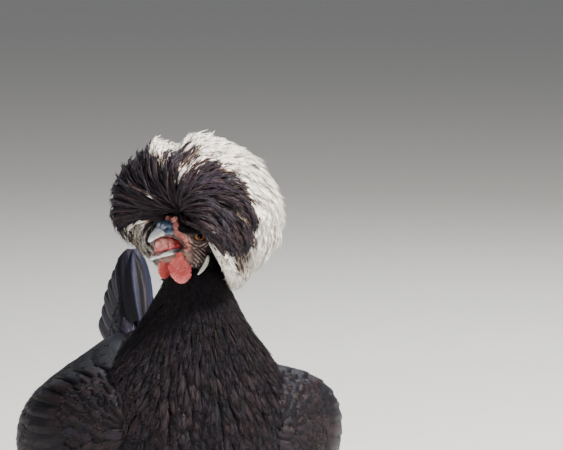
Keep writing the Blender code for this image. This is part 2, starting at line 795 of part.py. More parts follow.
def crest_path(start, length, lift, steps=VANE_STEPS):
    """Points of a feather that leaves the core and bends along the envelope, at once where it starts near
    the parting."""
    direction = start.copy()
    path = []
    normals = []
    near_brow = max(0.0, 1.0 - start.angle(CREST_POLE) / CREST_BROW_REACH)
    haste = CREST_HASTE + CREST_BROW_HASTE * near_brow
    for step in range(steps + 1):
        share = step / steps
        rise = CREST_ROOT_RISE + (1.0 - CREST_ROOT_RISE + lift) * (1.0 - (1.0 - share) ** haste)
        path.append(Vector(CREST_AT) + direction * crest_reach(direction) * rise)
        normals.append(direction.copy())
        turn = length / steps / crest_reach(direction) * (CREST_ROOT_TURN + CREST_TIP_TURN * share)
        direction = (direction + crest_flow(direction) * turn).normalized()
    return path, normals


def in_face(point):
    """Whether a place lies over the face or the bill, where no crest feather hangs."""
    brow = BROW_Z - BROW_FALL * abs(point.x) + BROW_RISE * max(0.0, BROW_AHEAD_Y - point.y)
    edge = FACE_EDGE_Z - FACE_EDGE_BACK * point.y - FACE_EDGE_OUT * abs(point.x)
    return point.z < min(brow, edge) + FACE_LEAN * point.x


def crest_feather_fits(path, normals, width, tilt):
    """Whether a crest feather stays clear of the face and ends above the crest's lower limit."""
    edges = vane_edges(path, normals, width, tilt)
    return path[-1].z > CREST_LOWEST and not any(in_face(p) for pair in edges for p in pair[:2])


def crest_starts():
    """Evenly spread root directions all round the crest but for its underside, and rings on the brow."""
    golden = math.pi * (3.0 - math.sqrt(5.0))
    for i in range(CREST_COUNT):
        height = 1.0 - 2.0 * (i + 0.5) / CREST_COUNT
        around = golden * i
        flat = math.sqrt(1.0 - height * height)
        start = Vector((flat * math.cos(around), flat * math.sin(around), height))
        if start.z > CREST_ROOT_FLOOR and start.angle(CREST_POLE) > CREST_FIRST_ANGLE:
            yield start
    across = Vector((1.0, 0.0, 0.0))
    upward = CREST_POLE.cross(across)
    for angle, count in CREST_BROW_RINGS:
        for i in range(count):
            around = 2 * math.pi * i / count
            spoke = across * math.cos(around) + upward * math.sin(around)
            yield CREST_POLE * math.cos(angle) + spoke * math.sin(angle)


def make_crest(parent):
    rng = random.Random(SEED)
    length, width, thick = CREST_FEATHER
    pieces = [
        egg("crest", CREST_CORE_AT, CREST_CORE_RADII, parent, 14, 7),
        egg("nape", NAPE_CORE_AT, NAPE_CORE_RADII, parent, 12, 6),
    ]
    for start in crest_starts():
        reach = length * rng.uniform(*CREST_LENGTH_SPREAD) + CREST_DROOP * max(0.0, -start.z)
        lift = rng.uniform(*CREST_LIFT_SPREAD)
        tilt = rng.uniform(-CREST_TILT, CREST_TILT)
        for share in CREST_SHARES:
            path, normals = crest_path(start, reach * share, lift)
            if crest_feather_fits(path, normals, width, tilt):
                pieces.append(vane("crest_feather", path, normals, width, thick, parent, tilt))
                break
    return fuse("crest", pieces)


# --- Wings --------------------------------------------------------------------------------------------

WING_TABLE = spline_rows(WING_RINGS, 8)


def wing_point(along, down, sign):
    """A place on the wing's outer face: along from wrist to tail, down from the top edge to the lower."""
    place = min(max(along, 0.0), 1.0) * (len(WING_TABLE) - 1)
    row = int(min(place, len(WING_TABLE) - 2))
    y, top_x, top_z, out_x, out_z, low_x, low_z = (
        WING_TABLE[row] + (WING_TABLE[row + 1] - WING_TABLE[row]) * (place - row)
    )
    y += max(0.0, along - 1.0) * (WING_RINGS[-1][0] - WING_RINGS[0][0])
    a, b, c = (1 - down) ** 2, 2 * down * (1 - down), down**2
    drop = WING_LEFT_DROP if sign > 0 else 0.0
    return Vector((sign * (a * top_x + b * out_x + c * low_x), y, a * top_z + b * out_z + c * low_z - drop))


def wing_normal(along, down, sign):
    step = 0.01
    lengthwise = wing_point(along + step, down, sign) - wing_point(along - step, down, sign)
    crosswise = wing_point(along, down + step, sign) - wing_point(along, down - step, sign)
    normal = lengthwise.cross(crosswise).normalized()
    return normal if normal.x * sign > 0 else -normal


def wing_arm(sign, parent):
    """The thick front of the wing, from the wrist back to where only feathers go on."""
    rings = []
    first_edge, last_edge = WING_ARM_EDGES
    for i in range(WING_ARM_RINGS + 1):
        share = i / WING_ARM_RINGS
        top = WING_ARM_FRONT[0] + (WING_ARM_REAR[0] - WING_ARM_FRONT[0]) * share
        low = WING_ARM_FRONT[1] + (WING_ARM_REAR[1] - WING_ARM_FRONT[1]) * share
        outer = []
        inner = []
        for k in range(WING_ARM_ROWS + 1):
            down = first_edge + (last_edge - first_edge) * k / WING_ARM_ROWS
            point = wing_point(WING_ARM_SPAN * share, down, sign)
            inward = Vector((sign * WING_AXIS[0], point.y, WING_AXIS[1])) - point
            thick = min(top + (low - top) * down, WING_ARM_MOST * inward.length)
            outer.append(point)
            inner.append(point + inward.normalized() * thick)
        rings.append(outer + inner[::-1])
    return loft("wing_arm", rings, parent)


def wing_tier(tier, sign, parent, rng):
    """A row of overlapping feathers laid like shingles along the wing."""
    count, low_root, high_root, low_tip, high_tip, width, thick, stand = tier
    made = []
    sunk = -ROOT_SINK if stand > 0 else stand - LOW_ROOT_SINK
    for i in range(count):
        share = i / (count - 1)
        root = Vector(low_root).lerp(Vector(high_root), share)
        tip = Vector(low_tip).lerp(Vector(high_tip), share)
        tip.x += rng.uniform(-LENGTH_SPREAD, LENGTH_SPREAD)
        path = []
        normals = []
        for step in range(VANE_STEPS + 1):
            along, down = root.lerp(tip, step / VANE_STEPS)
            normal = wing_normal(along, down, sign)
            path.append(wing_point(along, down, sign) + normal * (stand if step else sunk))
            normals.append(normal)
        made.append(vane("wing_feather", path, normals, width, thick, parent, tilt=-sign * SHINGLE_LIFT))
    return made


def make_wing(sign, parent):
    rng = random.Random(SEED + sign)
    pieces = [wing_arm(sign, parent)]
    for tier in (SECONDARIES, PRIMARIES, GREATER_COVERTS, MEDIAN_COVERTS):
        pieces += wing_tier(tier, sign, parent, rng)
    return fuse("wing", pieces)


# --- Tail ---------------------------------------------------------------------------------------------


def tail_feather(sign, share, length, width, inset, parent):
    """One tail feather: share runs from the tall middle pair to the low outer one."""
    lift = math.radians(TAIL_TOP_ANGLE + (TAIL_LOW_ANGLE - TAIL_TOP_ANGLE) * share)
    spread = math.radians(sign * (TAIL_TOP_SPREAD + (TAIL_LOW_SPREAD - TAIL_TOP_SPREAD) * share) - TAIL_SKEW)
    offset = Vector(TAIL_ROOT_TOP).lerp(Vector(TAIL_ROOT_LOW), share)
    root = Vector(TAIL_ROOT_AT) + Vector((sign * (offset.x + inset), offset.y, offset.z))
    path = []
    normals = []
    for step in range(VANE_STEPS + 1):
        along = length * step / VANE_STEPS
        bend = lift - TAIL_DROOP * step / VANE_STEPS
        ahead = Vector((math.sin(spread), math.cos(bend) * math.cos(spread), math.sin(bend)))
        path.append(root + ahead * along)
        normals.append(Vector((sign, 0.0, TAIL_FACING_UP)).normalized())
    return vane("tail_feather", path, normals, width, TAIL_THICK, parent, tilt=sign * TAIL_TILT)


def make_tail(parent):
    pieces = [egg("tail", TAIL_ROOT_AT, TAIL_ROOT_RADII, parent, 14, 8, (TAIL_ROOT_TILT, 0.0, 0.0))]
    for sign in (1, -1):
        for i in range(TAIL_PER_SIDE):
            share = i / (TAIL_PER_SIDE - 1)
            length = TAIL_TOP_LENGTH + (TAIL_LOW_LENGTH - TAIL_TOP_LENGTH) * share
            pieces.append(tail_feather(sign, share, length, TAIL_WIDTH, 0.0, parent))
        for i in range(TAIL_COVERTS):
            share = (i + 0.5) / TAIL_COVERTS
            length = TAIL_COVERT_LENGTH * (1.0 - TAIL_COVERT_FALL * share)
            pieces.append(tail_feather(sign, share, length, TAIL_COVERT_WIDTH, TAIL_COVERT_INSET, parent))
    return fuse("tail", pieces)


# --- Legs ---------------------------------------------------------------------------------------------


def thigh_core(sign, parent):
    places = [mirrored(p, sign) for p in (HIP_AT, KNEE_AT, CALF_AT, HOCK_AT)]
    return limb("thigh_core", places, THIGH_RADII, parent, segments=16, per_span=2)


def shank_core(sign, parent):
    hock = Vector(mirrored(HOCK_AT, sign))
    ankle = Vector(mirrored(ANKLE_AT, sign))
    places = [hock.lerp(ankle, share) for share in (0.0, 0.25, 0.8, 1.0)]
    return limb("shank_core", places, SHANK_RADII, parent, segments=10, per_span=1)


def toe_line(sign, length, angle):
    """Start, direction and end of a toe on the floor."""
    ankle = Vector(mirrored(ANKLE_AT, sign))
    turn = math.radians(angle)
    ahead = Vector((sign * math.sin(turn), -math.cos(turn), 0.0))
    start = Vector((ankle.x, ankle.y, TOE_THICK * TOE_SINK))
    return start, ahead, start + ahead * length


def toe_core(sign, length, angle, parent):
    """A toe with a pad at each joint."""
    start, ahead, _ = toe_line(sign, length, angle)
    pads = 4 if length > LONG_TOE else 3
    stations = pads * 2 + 1
    places = []
    radii = []
    for i in range(stations):
        share = i / (stations - 1)
        thick = TOE_THICK + (TOE_TIP_THICK - TOE_THICK) * share
        pad = 1.0 if i % 2 == 0 else TOE_WAIST
        places.append(start + ahead * length * share + Vector((0, 0, (thick - TOE_THICK) * TOE_SINK)))
        radii.append(thick * pad)
    return limb("toe_core", places, radii, parent, segments=7, per_span=1)


def foot_cores(sign, parent):
    pieces = [egg("pad", mirrored(FOOT_PAD_AT, sign), FOOT_PAD_RADII, parent, 10, 6)]
    pieces += [toe_core(sign, length, angle, parent) for _, length, angle in TOES]
    return pieces


def claw_core(sign, length, angle, parent):
    """A curved claw that goes on from the toe's end and comes down to the floor."""
    _, ahead, end = toe_line(sign, length, angle)
    rows = []
    for share in (0.0, 0.35, 0.7, 1.0):
        arch = CLAW_ARCH * math.sin(math.pi * min(1.0, share + 0.15))
        height = CLAW_ROOT_Z + arch - CLAW_FALL * share
        along = CLAW_LENGTH * share - CLAW_ROOT_INSET
        rows.append((end + ahead * along + Vector((0, 0, height - end.z)), share))
    radii = [CLAW_THICK * (1.0 - CLAW_TAPER * share) for _, share in rows]
    return limb("claw_core", [place for place, _ in rows], radii, parent, segments=6, per_span=1)


# --- Assembly -----------------------------------------------------------------------------------------


def centre_on_floor(root, nodes):
    """Moves the whole hen so that the middle of her box stands over the origin, with her feet at Z = 0."""
    bpy.context.view_layer.update()
    places = [node.matrix_world @ vert.co for node in nodes for vert in node.data.vertices]
    low = [min(place[i] for place in places) for i in range(3)]
    high = [max(place[i] for place in places) for i in range(3)]
    root.location = (-(low[0] + high[0]) / 2, -(low[1] + high[1]) / 2, -low[2])
    bpy.context.view_layer.update()


def build_trunk(body, looks):
    """Torso and neck, one form parted by a thin tilted cut."""
    nodes = []
    for name, above in (("neck", True), ("torso", False)):
        part = trunk_core(body)
        part.name = name
        shift = GAP / 2 if above else -GAP / 2
        x, y, z = NECK_BASE_AT
        place = (x, y - shift * math.sin(NECK_BASE_TILT), z + shift * math.cos(NECK_BASE_TILT))
        cutters = [half_space("plane", place, NECK_BASE_TILT, body, above=not above)]
        if above:
            cutters.append(half_space("top", (0, 0, NECK_TOP_Z - GAP / 2), 0.0, body, above=True))
        cut(part, cutters)
        nodes.append(finish(part, looks["black_feather"]))
    return nodes


def build_mouth(head, cores, head_node, looks):
    """Upper and lower bill and the tongue, each cut clear of its neighbours."""
    upper = fuse("bill_upper", upper_bill_cores(head))
    nostrils = [egg("nostril", mirrored(NOSTRIL_AT, s), NOSTRIL_RADII, head, 8, 5) for s in (1, -1)]
    palate = egg("palate", PALATE_AT, PALATE_RADII, head, 10, 6)
    cut(upper, swollen(cores) + nostrils + [palate])
    jaw = lower_bill_core(head)
    jaw.name = "bill_lower"
    cut(jaw, swollen(cores) + [trough(head)])
    tongue = tongue_core(head)
    cut(tongue, swollen([head_node, upper]) + [lower_bill_core(head, TONGUE_CLEARANCE)])
    return [
        finish(upper, looks["bill_horn"]),
        finish(jaw, looks["bill_horn"]),
        finish(tongue, looks["pink_skin"]),
    ]


def build_head(head, body, looks):
    """Head, eyes, bill, tongue, comb, wattles and ear lobes; returns the nodes and the crest's cutters."""
    head_node = finish(make_head(head, body), looks["face_skin"])
    cores = head_cores(head) + [trunk_core(body)]
    bills = upper_bill_cores(head) + [lower_bill_core(head)]
    nodes = [head_node] + build_mouth(head, cores, head_node, looks)
    combs = comb_cores(head)
    comb = fuse("comb", [copy_of(piece) for piece in combs])
    cut(comb, swollen(cores + bills))
    nodes.append(finish(comb, looks["red_skin"]))
    around = []
    for sign, side in ((1, "left"), (-1, "right")):
        eye = make_eye(sign, head)
        eye.name = f"eye_{side}"
        flap = wattle(sign, head)
        flap.name = f"wattle_{side}"
        lobe = lobe_core(sign, head)
        lobe.name = f"earlobe_{side}"
        around += [copy_of(flap), copy_of(lobe), lid_shell(sign, head)]
        cut(flap, swollen(cores + bills))
        cut(lobe, swollen(cores))
        nodes.append(finish(eye, looks["iris_bay"]))
        nodes.append(finish(flap, looks["red_skin"]))
        nodes.append(finish(lobe, looks["pale_lobe"]))
    return nodes, cores + bills + combs + around


def build_crest(head, cores, looks):
    crest = make_crest(head)
    cut(crest, swollen(cores))
    discard(cores)
    return [finish(crest, looks["white_feather"])]


def build_wings_and_tail(body, looks):
    nodes = []
    trunk = [trunk_core(body)]
    for sign, side in ((1, "left"), (-1, "right")):
        wing = make_wing(sign, body)
        wing.name = f"wing_{side}"
        cut(wing, swollen(trunk))
        nodes.append(finish(wing, looks["black_feather"]))
    tail = make_tail(body)
    cut(tail, swollen(trunk))
    nodes.append(finish(tail, looks["black_feather"]))
    discard(trunk)
    return nodes


def build_leg(sign, side, body, looks):
    nodes = []
    trunk = trunk_core(body)
    thigh = thigh_core(sign, body)
    shank = shank_core(sign, body)
    feet = foot_cores(sign, body)

    thigh_node = copy_of(thigh)
    thigh_node.name = f"thigh_{side}"
    cut(thigh_node, swollen([trunk]))
    nodes.append(finish(thigh_node, looks["black_feather"]))

    shank_node = copy_of(shank)
    shank_node.name = f"shank_{side}"
    cut(shank_node, swollen([thigh] + feet))
    nodes.append(finish(shank_node, looks["slate_scale"]))

    foot = fuse(f"foot_{side}", [copy_of(piece) for piece in feet])
    cut(foot, [half_space("floor", (0, 0, 0), 0.0, body, above=False)])
    nodes.append(finish(foot, looks["slate_scale"]))

    for name, length, angle in TOES:
        claw = claw_core(sign, length, angle, body)
        claw.name = f"claw_{side}_{name}"
        floor = half_space("floor", (0, 0, 0), 0.0, body, above=False)
        cut(claw, swollen(feet) + [floor])
        nodes.append(finish(claw, looks["claw_horn"]))
    discard([trunk, thigh, shank] + feet)
    return nodes


def main():
    clear_scene()
    looks = {
        "black_feather": make_material("black_feather", BLACK_FEATHER),
        "white_feather": make_material("white_feather", WHITE_FEATHER),
        "red_skin": make_material("red_skin", RED_SKIN),
        "pink_skin": make_material("pink_skin", PINK_SKIN),
        "face_skin": make_material("face_skin", FACE_SKIN),
        "pale_lobe": make_material("pale_lobe", PALE_LOBE),
        "bill_horn": make_material("bill_horn", BILL_HORN),
        "iris_bay": make_material("iris_bay", IRIS_BAY),
        "slate_scale": make_material("slate_scale", SLATE_SCALE),
        "claw_horn": make_material("claw_horn", CLAW_HORN),
    }
    body = make_empty("body_frame")
    turn = Euler((HEAD_PITCH, HEAD_ROLL, HEAD_TURN), "XYZ")
    head = make_empty("head_frame", HEAD_AT, turn, body)
    nodes = build_trunk(body, looks)
    head_nodes, cores = build_head(head, body, looks)
    nodes += head_nodes
    nodes += build_crest(head, cores, looks)
    nodes += build_wings_and_tail(body, looks)
    for sign, side in ((1, "left"), (-1, "right")):
        nodes += build_leg(sign, side, body, looks)
    centre_on_floor(body, nodes)


main()
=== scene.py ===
"""A white-crested black Polish hen: skin, face, bill, eyes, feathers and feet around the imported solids.

Sizes are in millimetres. The body frame has the hen facing -Y with her left side at +X and the floor at
Z = 0; the head frame has the same axes and its origin between the eyes. shell_object and triangle_object move
body-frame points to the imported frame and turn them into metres.
"""

import math

import bmesh
import bpy
import numpy as np
from mathutils import Euler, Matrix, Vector, noise


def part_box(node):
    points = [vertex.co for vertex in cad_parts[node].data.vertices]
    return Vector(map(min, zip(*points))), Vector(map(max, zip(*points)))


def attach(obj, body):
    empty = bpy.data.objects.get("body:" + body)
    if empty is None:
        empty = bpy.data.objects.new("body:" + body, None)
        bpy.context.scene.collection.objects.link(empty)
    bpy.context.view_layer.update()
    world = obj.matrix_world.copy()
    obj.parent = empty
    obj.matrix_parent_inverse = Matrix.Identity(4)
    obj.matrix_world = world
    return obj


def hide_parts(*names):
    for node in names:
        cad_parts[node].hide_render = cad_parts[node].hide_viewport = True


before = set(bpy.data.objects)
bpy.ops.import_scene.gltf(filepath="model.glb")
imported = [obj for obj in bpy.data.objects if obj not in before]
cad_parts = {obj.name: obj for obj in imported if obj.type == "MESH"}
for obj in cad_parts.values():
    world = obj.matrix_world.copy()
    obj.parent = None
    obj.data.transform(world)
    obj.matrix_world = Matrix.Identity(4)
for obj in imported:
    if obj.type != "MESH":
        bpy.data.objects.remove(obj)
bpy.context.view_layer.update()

MM = 0.001
SEED = 11
SIDES = ((1, "left"), (-1, "right"))

# --- Where the head sits, and sizes shared with the solids ---

HEAD_AT = np.array((-9.5, -96.0, 373.0))
HEAD_TURN = math.radians(-65.0)
HEAD_PITCH = math.radians(-6.0)
HEAD_ROLL = math.radians(3.0)
HEAD_ROTATION = np.array(Euler((HEAD_PITCH, HEAD_ROLL, HEAD_TURN), "XYZ").to_matrix())

# Trunk rings from rump to head: the back's y and z, the front's y and z, half width and sideways shift.
TRUNK_RINGS = (
    (150, 228, 150, 222, 1, 0), (141, 247, 135, 192, 27, 0), (118, 252, 111, 158, 48, 0),
    (78, 255, 70, 122, 71, 0), (35, 257, 24, 101, 85, 0), (-4, 259, -27, 98, 90, 0),
    (-28, 264, -72, 108, 90, 0), (-40, 272, -107, 131, 86, 0), (-45, 281, -126, 162, 82, 0),
    (-46, 291, -132, 195, 74, 0), (-45, 302, -128, 228, 60, 0.5), (-46, 314, -121, 258, 47, 1),
    (-50, 328, -117, 287, 35.5, 1.5), (-61, 343, -113, 315, 26, 1), (-75, 357, -107, 343, 17.5, 0),
    (-82, 373, -103, 364, 11, -1),
)

# Head rings in the head frame from nape to face: y, half width, top z, bottom z.
SKULL_RINGS = (
    (37, 0.5, 2.5, 1.5), (33, 10.5, 12, -10), (22, 16, 19, -19), (8, 17.2, 20.5, -23), (-4, 15.6, 17.5, -19),
    (-12, 12.4, 13.2, -13), (-19, 9.2, 9.6, -6), (-25, 5.6, 5.6, -1), (-27.5, 0.3, 2.5, 1.9),
)
KNOB = ((0, 13, 17), (15.5, 18, 14.5))
CHEEK = ((9.4, -4, -8.5), (6, 9.5, 8))
JOWL = ((8.6, 4, -16), (8.6, 11.5, 10.5))
CHIN = ((0, -12, -17.2), (8.4, 13, 5.8))
EYE_AT = np.array((12.6, 1.8, 1.0))
EYE_RADIUS = 5.4
EYE_TURN = math.radians(20.0)
SOCKET_GAP = 0.25
LID_THICK = 1.1
LID_OPENING_OUT = 6.4
LID_OPENING_DROP = 0.9
LID_OPENING_RADII = (3.6, 6.0, 3.7)
EAR_AT = (16.4, 15.0, -6.0)
EAR_RADIUS = 2.6
LOBE_AT = np.array((18.0, 8.4, -23.0))
LOBE_RADII = (1.5, 1.9, 9.7)
LOBE_TURN = (-0.56, 0.10)

GAPE_AT = np.array((0.0, -8.5, -9.0))
GAPE_ANGLE = math.radians(22.0)
# The open mouth as y, z pairs: from its corners up along the palate, then back along the floor.
MOUTH_OUTLINE = (
    (-8.5, -9), (-12.5, -5), (-18.5, -1.6), (-50, -1.2), (-50, -28), (-27.7, -15.8), (-18.8, -12.4),
    (-12.2, -11.4),
)
MOUTH_HALF_WIDTH = 30.0

UPPER_BILL_RINGS = (
    (-9, 7.5, 6.5, -5), (-17, 8, 8, -2.6), (-24, 7.8, 7.6, -1.9), (-30, 6.7, 5, -2.4), (-35, 4.9, 0.6, -4.2),
    (-38.5, 2.7, -3.6, -7), (-40.2, 0.4, -6.3, -6.9),
)
LOWER_BILL_RINGS = (
    (-8, 7.6, -9.6, -15), (-14, 7.8, -8.6, -15), (-20, 7.2, -7.2, -14), (-28, 5.6, -6.8, -12.4),
    (-34.5, 3.6, -8, -11.6), (-38.4, 1.6, -9.4, -11), (-39.4, 0.3, -10, -10.6),
)
PALATE = ((0, -23, -3.4), (5.6, 12.5, 3.4))
TROUGH = ((0, -24, -7.2), (4.9, 12.5, 3.4))
NOSTRIL_BULB = ((2.5, -23.8, 7.4), (4.3, 6.8, 4.7))
NOSTRIL = ((6.6, -26, 6.4), (1.7, 2.6, 0.9))
TONGUE_RINGS = (
    (-7, 5.6, -8, -13), (-14, 5.8, -4.6, -14), (-20, 5.6, -3, -14.6), (-26, 4.8, -3, -15.4),
    (-30.6, 3.2, -4.8, -15.4), (-32.4, 0.6, -9, -11),
)

WATTLE_ROOT = (7.4, -12.6, -13.0)
WATTLE_LENGTH = 27.0
WATTLE_WIDTH = 20.0
WATTLE_THICK = 3.4
WATTLE_ROWS = (
    (0, 0.24), (0.14, 0.36), (0.32, 0.8), (0.52, 1), (0.72, 0.94), (0.88, 0.66), (0.97, 0.32), (1, 0.02),
)
WATTLE_FLARE = math.radians(8.0)
WATTLE_TURN = math.radians(14.0)
WATTLE_BACK = 0.1

COMB_AT = (3.5, -18.0, 11.4)
COMB_RADII = (2.5, 3.4, 4.6)
COMB_LEAN = 0.25
COMB_SPLAY = math.radians(20.0)
COMB_BASE = ((0, -16.5, 9), (4.6, 3.6, 3))

CREST_AT = np.array((0.0, 11.0, 24.0))
CREST_RADII = (74.0, 74.0, 62.0)
CREST_LOW_RADIUS = 76.0
CREST_CORE = ((0, 14, 29), (33, 33.5, 27))
NAPE_CORE = ((0, 31, 6), (35, 20, 23))
CREST_POLE = np.array((0.27, -0.95, -0.15)) / math.sqrt(0.27**2 + 0.95**2 + 0.15**2)
CREST_ROOT_TURN = 0.55
CREST_TIP_TURN = 0.75
CREST_BROW_REACH = 0.9
CREST_ROOT_RADIUS = 30.0
CREST_LOWEST = -48.0
CREST_FALL = 0.48
CREST_FALL_START = 0.35
CREST_SIDE_FALL = 0.45
CREST_MOST_FALL = 0.78
CREST_HASTE = 1.7
CREST_BROW_HASTE = 2.6
BROW_Z = 13.0
BROW_FALL = 0.25
BROW_AHEAD_Y = -16.0
BROW_RISE = 0.40
FACE_EDGE_Z = 21.0
FACE_EDGE_BACK = 1.3
FACE_EDGE_OUT = 0.91
FACE_LEAN = (0.26, 0.10)

# Wing panel from wrist to tail: y, then top edge, bulge and lower edge as x, z pairs.
WING_RINGS = (
    (-110, 50, 224, 72, 219, 60, 190), (-92, 48, 242, 124, 242, 90, 160), (-60, 50, 248, 165, 252, 112, 138),
    (-20, 50, 247, 174, 241, 124, 131), (30, 45, 248, 158, 229, 120, 133), (75, 36, 248, 116, 234, 94, 152),
    (115, 27, 247, 80, 234, 70, 178), (150, 18, 246, 54, 238, 50, 202),
)
WING_LEFT_DROP = 6.0
WING_AXIS = (34.0, 205.0)

TAIL_ROOT = ((-1, 130, 226), (20, 27, 20))
TAIL_ROOT_TILT = 0.5
TAIL_ROOT_TOP = (2.0, 3.0, 7.0)
TAIL_ROOT_LOW = (11.0, 3.0, -6.0)

LEG = ((42, -6, 142), (45, -6, 122), (45.5, 6, 101), (45, 21, 84))
THIGH_RADII = (38.0, 35.0, 22.0, 9.5)
ANKLE_AT = np.array((47.0, 7.0, 9.0))
SHANK_RADII = (7.4, 5.0, 4.8, 6.2)
FOOT_PAD = ((47, 4, 5.2), (8, 9, 6.4))
TOE_THICK = 4.6
TOE_TIP_THICK = 3.3
TOE_SINK = 0.92
TOE_WAIST = 0.84
LONG_TOE = 50.0
TOES = (("inner", 42, -32), ("middle", 57, 2), ("outer", 45, 36), ("hind", 19, 168))
CLAW_LENGTH = 10.5
CLAW_THICK = 2.2
CLAW_ROOT_Z = 3.6
CLAW_ARCH = 0.9
CLAW_FALL = 2.4
CLAW_ROOT_INSET = 1.5
CLAW_TAPER = 0.82


# --- Points and frames ---


def from_head(points):
    return np.asarray(points, float) @ HEAD_ROTATION.T + HEAD_AT


def to_head(points):
    return (np.asarray(points, float) - HEAD_AT) @ HEAD_ROTATION


def packed_shift():
    """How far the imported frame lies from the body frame, read from the left eye's box."""
    low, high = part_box("eye_left")
    middle = np.array((low + high) / 2) / MM
    return middle - from_head(EYE_AT)


SHIFT = packed_shift()


def mirrored(point, sign):
    return np.array((sign * point[0], point[1], point[2]))


def unit(vectors):
    return vectors / np.maximum(np.linalg.norm(vectors, axis=-1, keepdims=True), 1e-9)


def dots(a, b):
    return (a * b).sum(-1, keepdims=True)


def ramp(values, low, high):
    """0 below low, 1 above high, and smooth between them."""
    share = np.clip((values - low) / (high - low), 0.0, 1.0)
    return share * share * (3.0 - 2.0 * share)


def lerp(a, b, share):
    return a + (b - a) * share


def spline_table(rows, per_span):
    """Rows of a table, with more rows between them on a smooth curve through all of them."""
    table = np.array(rows, float)
    padded = np.vstack([2 * table[0] - table[1], table, 2 * table[-1] - table[-2]])
    found = []
    for i in range(1, len(table)):
        before, start, end, after = padded[i - 1 : i + 3]
        for step in range(per_span):
            t = step / per_span
            bend = 2 * before - 5 * start + 4 * end - after
            sharp = 3 * (start - end) + after - before
            found.append(start + 0.5 * t * (end - before + t * (bend + t * sharp)))
    found.append(table[-1])
    return np.array(found)


def ring_angles(count):
    return np.arange(count) * 2 * math.pi / count


def stacked(*parts):
    """Arrays side by side as the last axis of one."""
    return np.stack(np.broadcast_arrays(*parts), axis=-1)


def even_pairs(count):
    """Two arrays of numbers from 0 to 1 that together cover a square evenly."""
    index = np.arange(count) + 1
    return (0.5 + index * 0.7548776662466927) % 1.0, (0.5 + index * 0.5698402909980532) % 1.0


def noise_at(points, size, seed=0.0):
    """Smooth noise from -1 to 1 at each point; size is the size of its lumps in millimetres."""
    offset = Vector((seed, 2.3 * seed, -1.7 * seed))
    return np.array([noise.noise(Vector(p) / size + offset) for p in points])


# --- Closed shells ---
# A shell is a pair: points (n, 3) and a list of faces.


def sleeve_faces(rings, count):
    """Quads between rings of equal count, and a flat face on each end ring."""
    faces = []
    for i in range(rings - 1):
        for j in range(count):
            a, b = i * count + j, i * count + (j + 1) % count
            faces.append((a, b, b + count, a + count))
    faces.append(tuple(reversed(range(count))))
    faces.append(tuple(range((rings - 1) * count, rings * count)))
    return faces


def sleeve(grid):
    """A closed shell from a grid of ring points (rings, count, 3)."""
    rings, count = grid.shape[:2]
    points = grid.reshape(-1, 3)
    faces = sleeve_faces(rings, count)
    middle = points.mean(axis=0)
    volume = 0.0
    for face in faces:
        a = points[face[0]] - middle
        for i in range(1, len(face) - 1):
            volume += a @ np.cross(points[face[i]] - middle, points[face[i + 1]] - middle)
    if volume < 0:
        faces = [tuple(reversed(face)) for face in faces]
    return points, faces


def joined(shells):
    points = []
    faces = []
    start = 0
    for shell_points, shell_faces in shells:
        points.append(shell_points)
        faces += [tuple(i + start for i in face) for face in shell_faces]
        start += len(shell_points)
    return np.vstack(points), faces


def egg(form, turn=(0, 0, 0), sign=1, rings=24, count=32):
    """An ellipsoid as a shell, from a form of centre and radii, turned about its centre."""
    a, b, c = form[1]
    polar = np.linspace(0.02, math.pi - 0.02, rings)[:, None]
    around = ring_angles(count)
    grid = stacked(np.sin(polar) * np.cos(around) * a, np.sin(polar) * np.sin(around) * b, np.cos(polar) * c)
    return sleeve(grid @ np.array(Euler(turn).to_matrix()).T + mirrored(form[0], sign))


def oval_sleeve(rows, per_span=4, count=32):
    """Upright ovals along Y from rows of y, half width, top z and bottom z."""
    y, width, top, low = spline_table(rows, per_span).T[..., None]
    around = ring_angles(count)
    return sleeve(stacked(width * np.cos(around), y, (top + low) / 2 + (top - low) / 2 * np.sin(around)))


def limb_grid(centres, radii, per_span=8, count=24):
    """Rings round a smooth path; the rings' first point faces +X."""
    table = spline_table([(*c, r) for c, r in zip(centres, radii)], per_span)
    path, radius = table[:, :3], table[:, 3:]
    ahead = unit(np.gradient(path, axis=0))
    side = unit(np.array((1.0, 0.0, 0.0)) - ahead * ahead[:, :1])
    up = np.cross(ahead, side)
    around = ring_angles(count)[None, :, None]
    spokes = side[:, None] * np.cos(around) + up[:, None] * np.sin(around)
    return path[:, None] + spokes * radius[:, None]


# Height of the dome that ends a limb, as a share of the end's radius, and the angles of its rings.
DOME_HEIGHT = 0.8
LIMB_END_ANGLES = (0.5, 1.0, 1.5)


def rounded(grid, middles, angles):
    """Rings about their middles, with more past each end that close it in a dome."""
    ends = []
    for end, inner in ((0, 1), (-1, -2)):
        away = unit(middles[end] - middles[inner])
        spokes = grid[end] - middles[end]
        height = DOME_HEIGHT * np.linalg.norm(spokes, axis=-1).mean()
        ends.append([middles[end] + spokes * math.cos(a) + away * height * math.sin(a) for a in angles])
    return np.array(ends[0][::-1] + list(grid) + ends[1])


def limb(centres, radii, per_span=8, count=24):
    """A closed limb with rounded ends."""
    grid = limb_grid(centres, radii, per_span, count)
    return sleeve(rounded(grid, grid.mean(axis=1, keepdims=True), LIMB_END_ANGLES))


def in_body(shell):
    """A head-frame shell moved to the body frame."""
    return from_head(shell[0]), shell[1]


def turned_down(shell, angle=GAPE_ANGLE):
    """A lower-jaw shell turned down about the corners of the mouth, in the head frame."""
    rotation = np.array(Euler((angle, 0.0, 0.0)).to_matrix())
    return (shell[0] - GAPE_AT) @ rotation.T + GAPE_AT, shell[1]


# --- Meshes ---


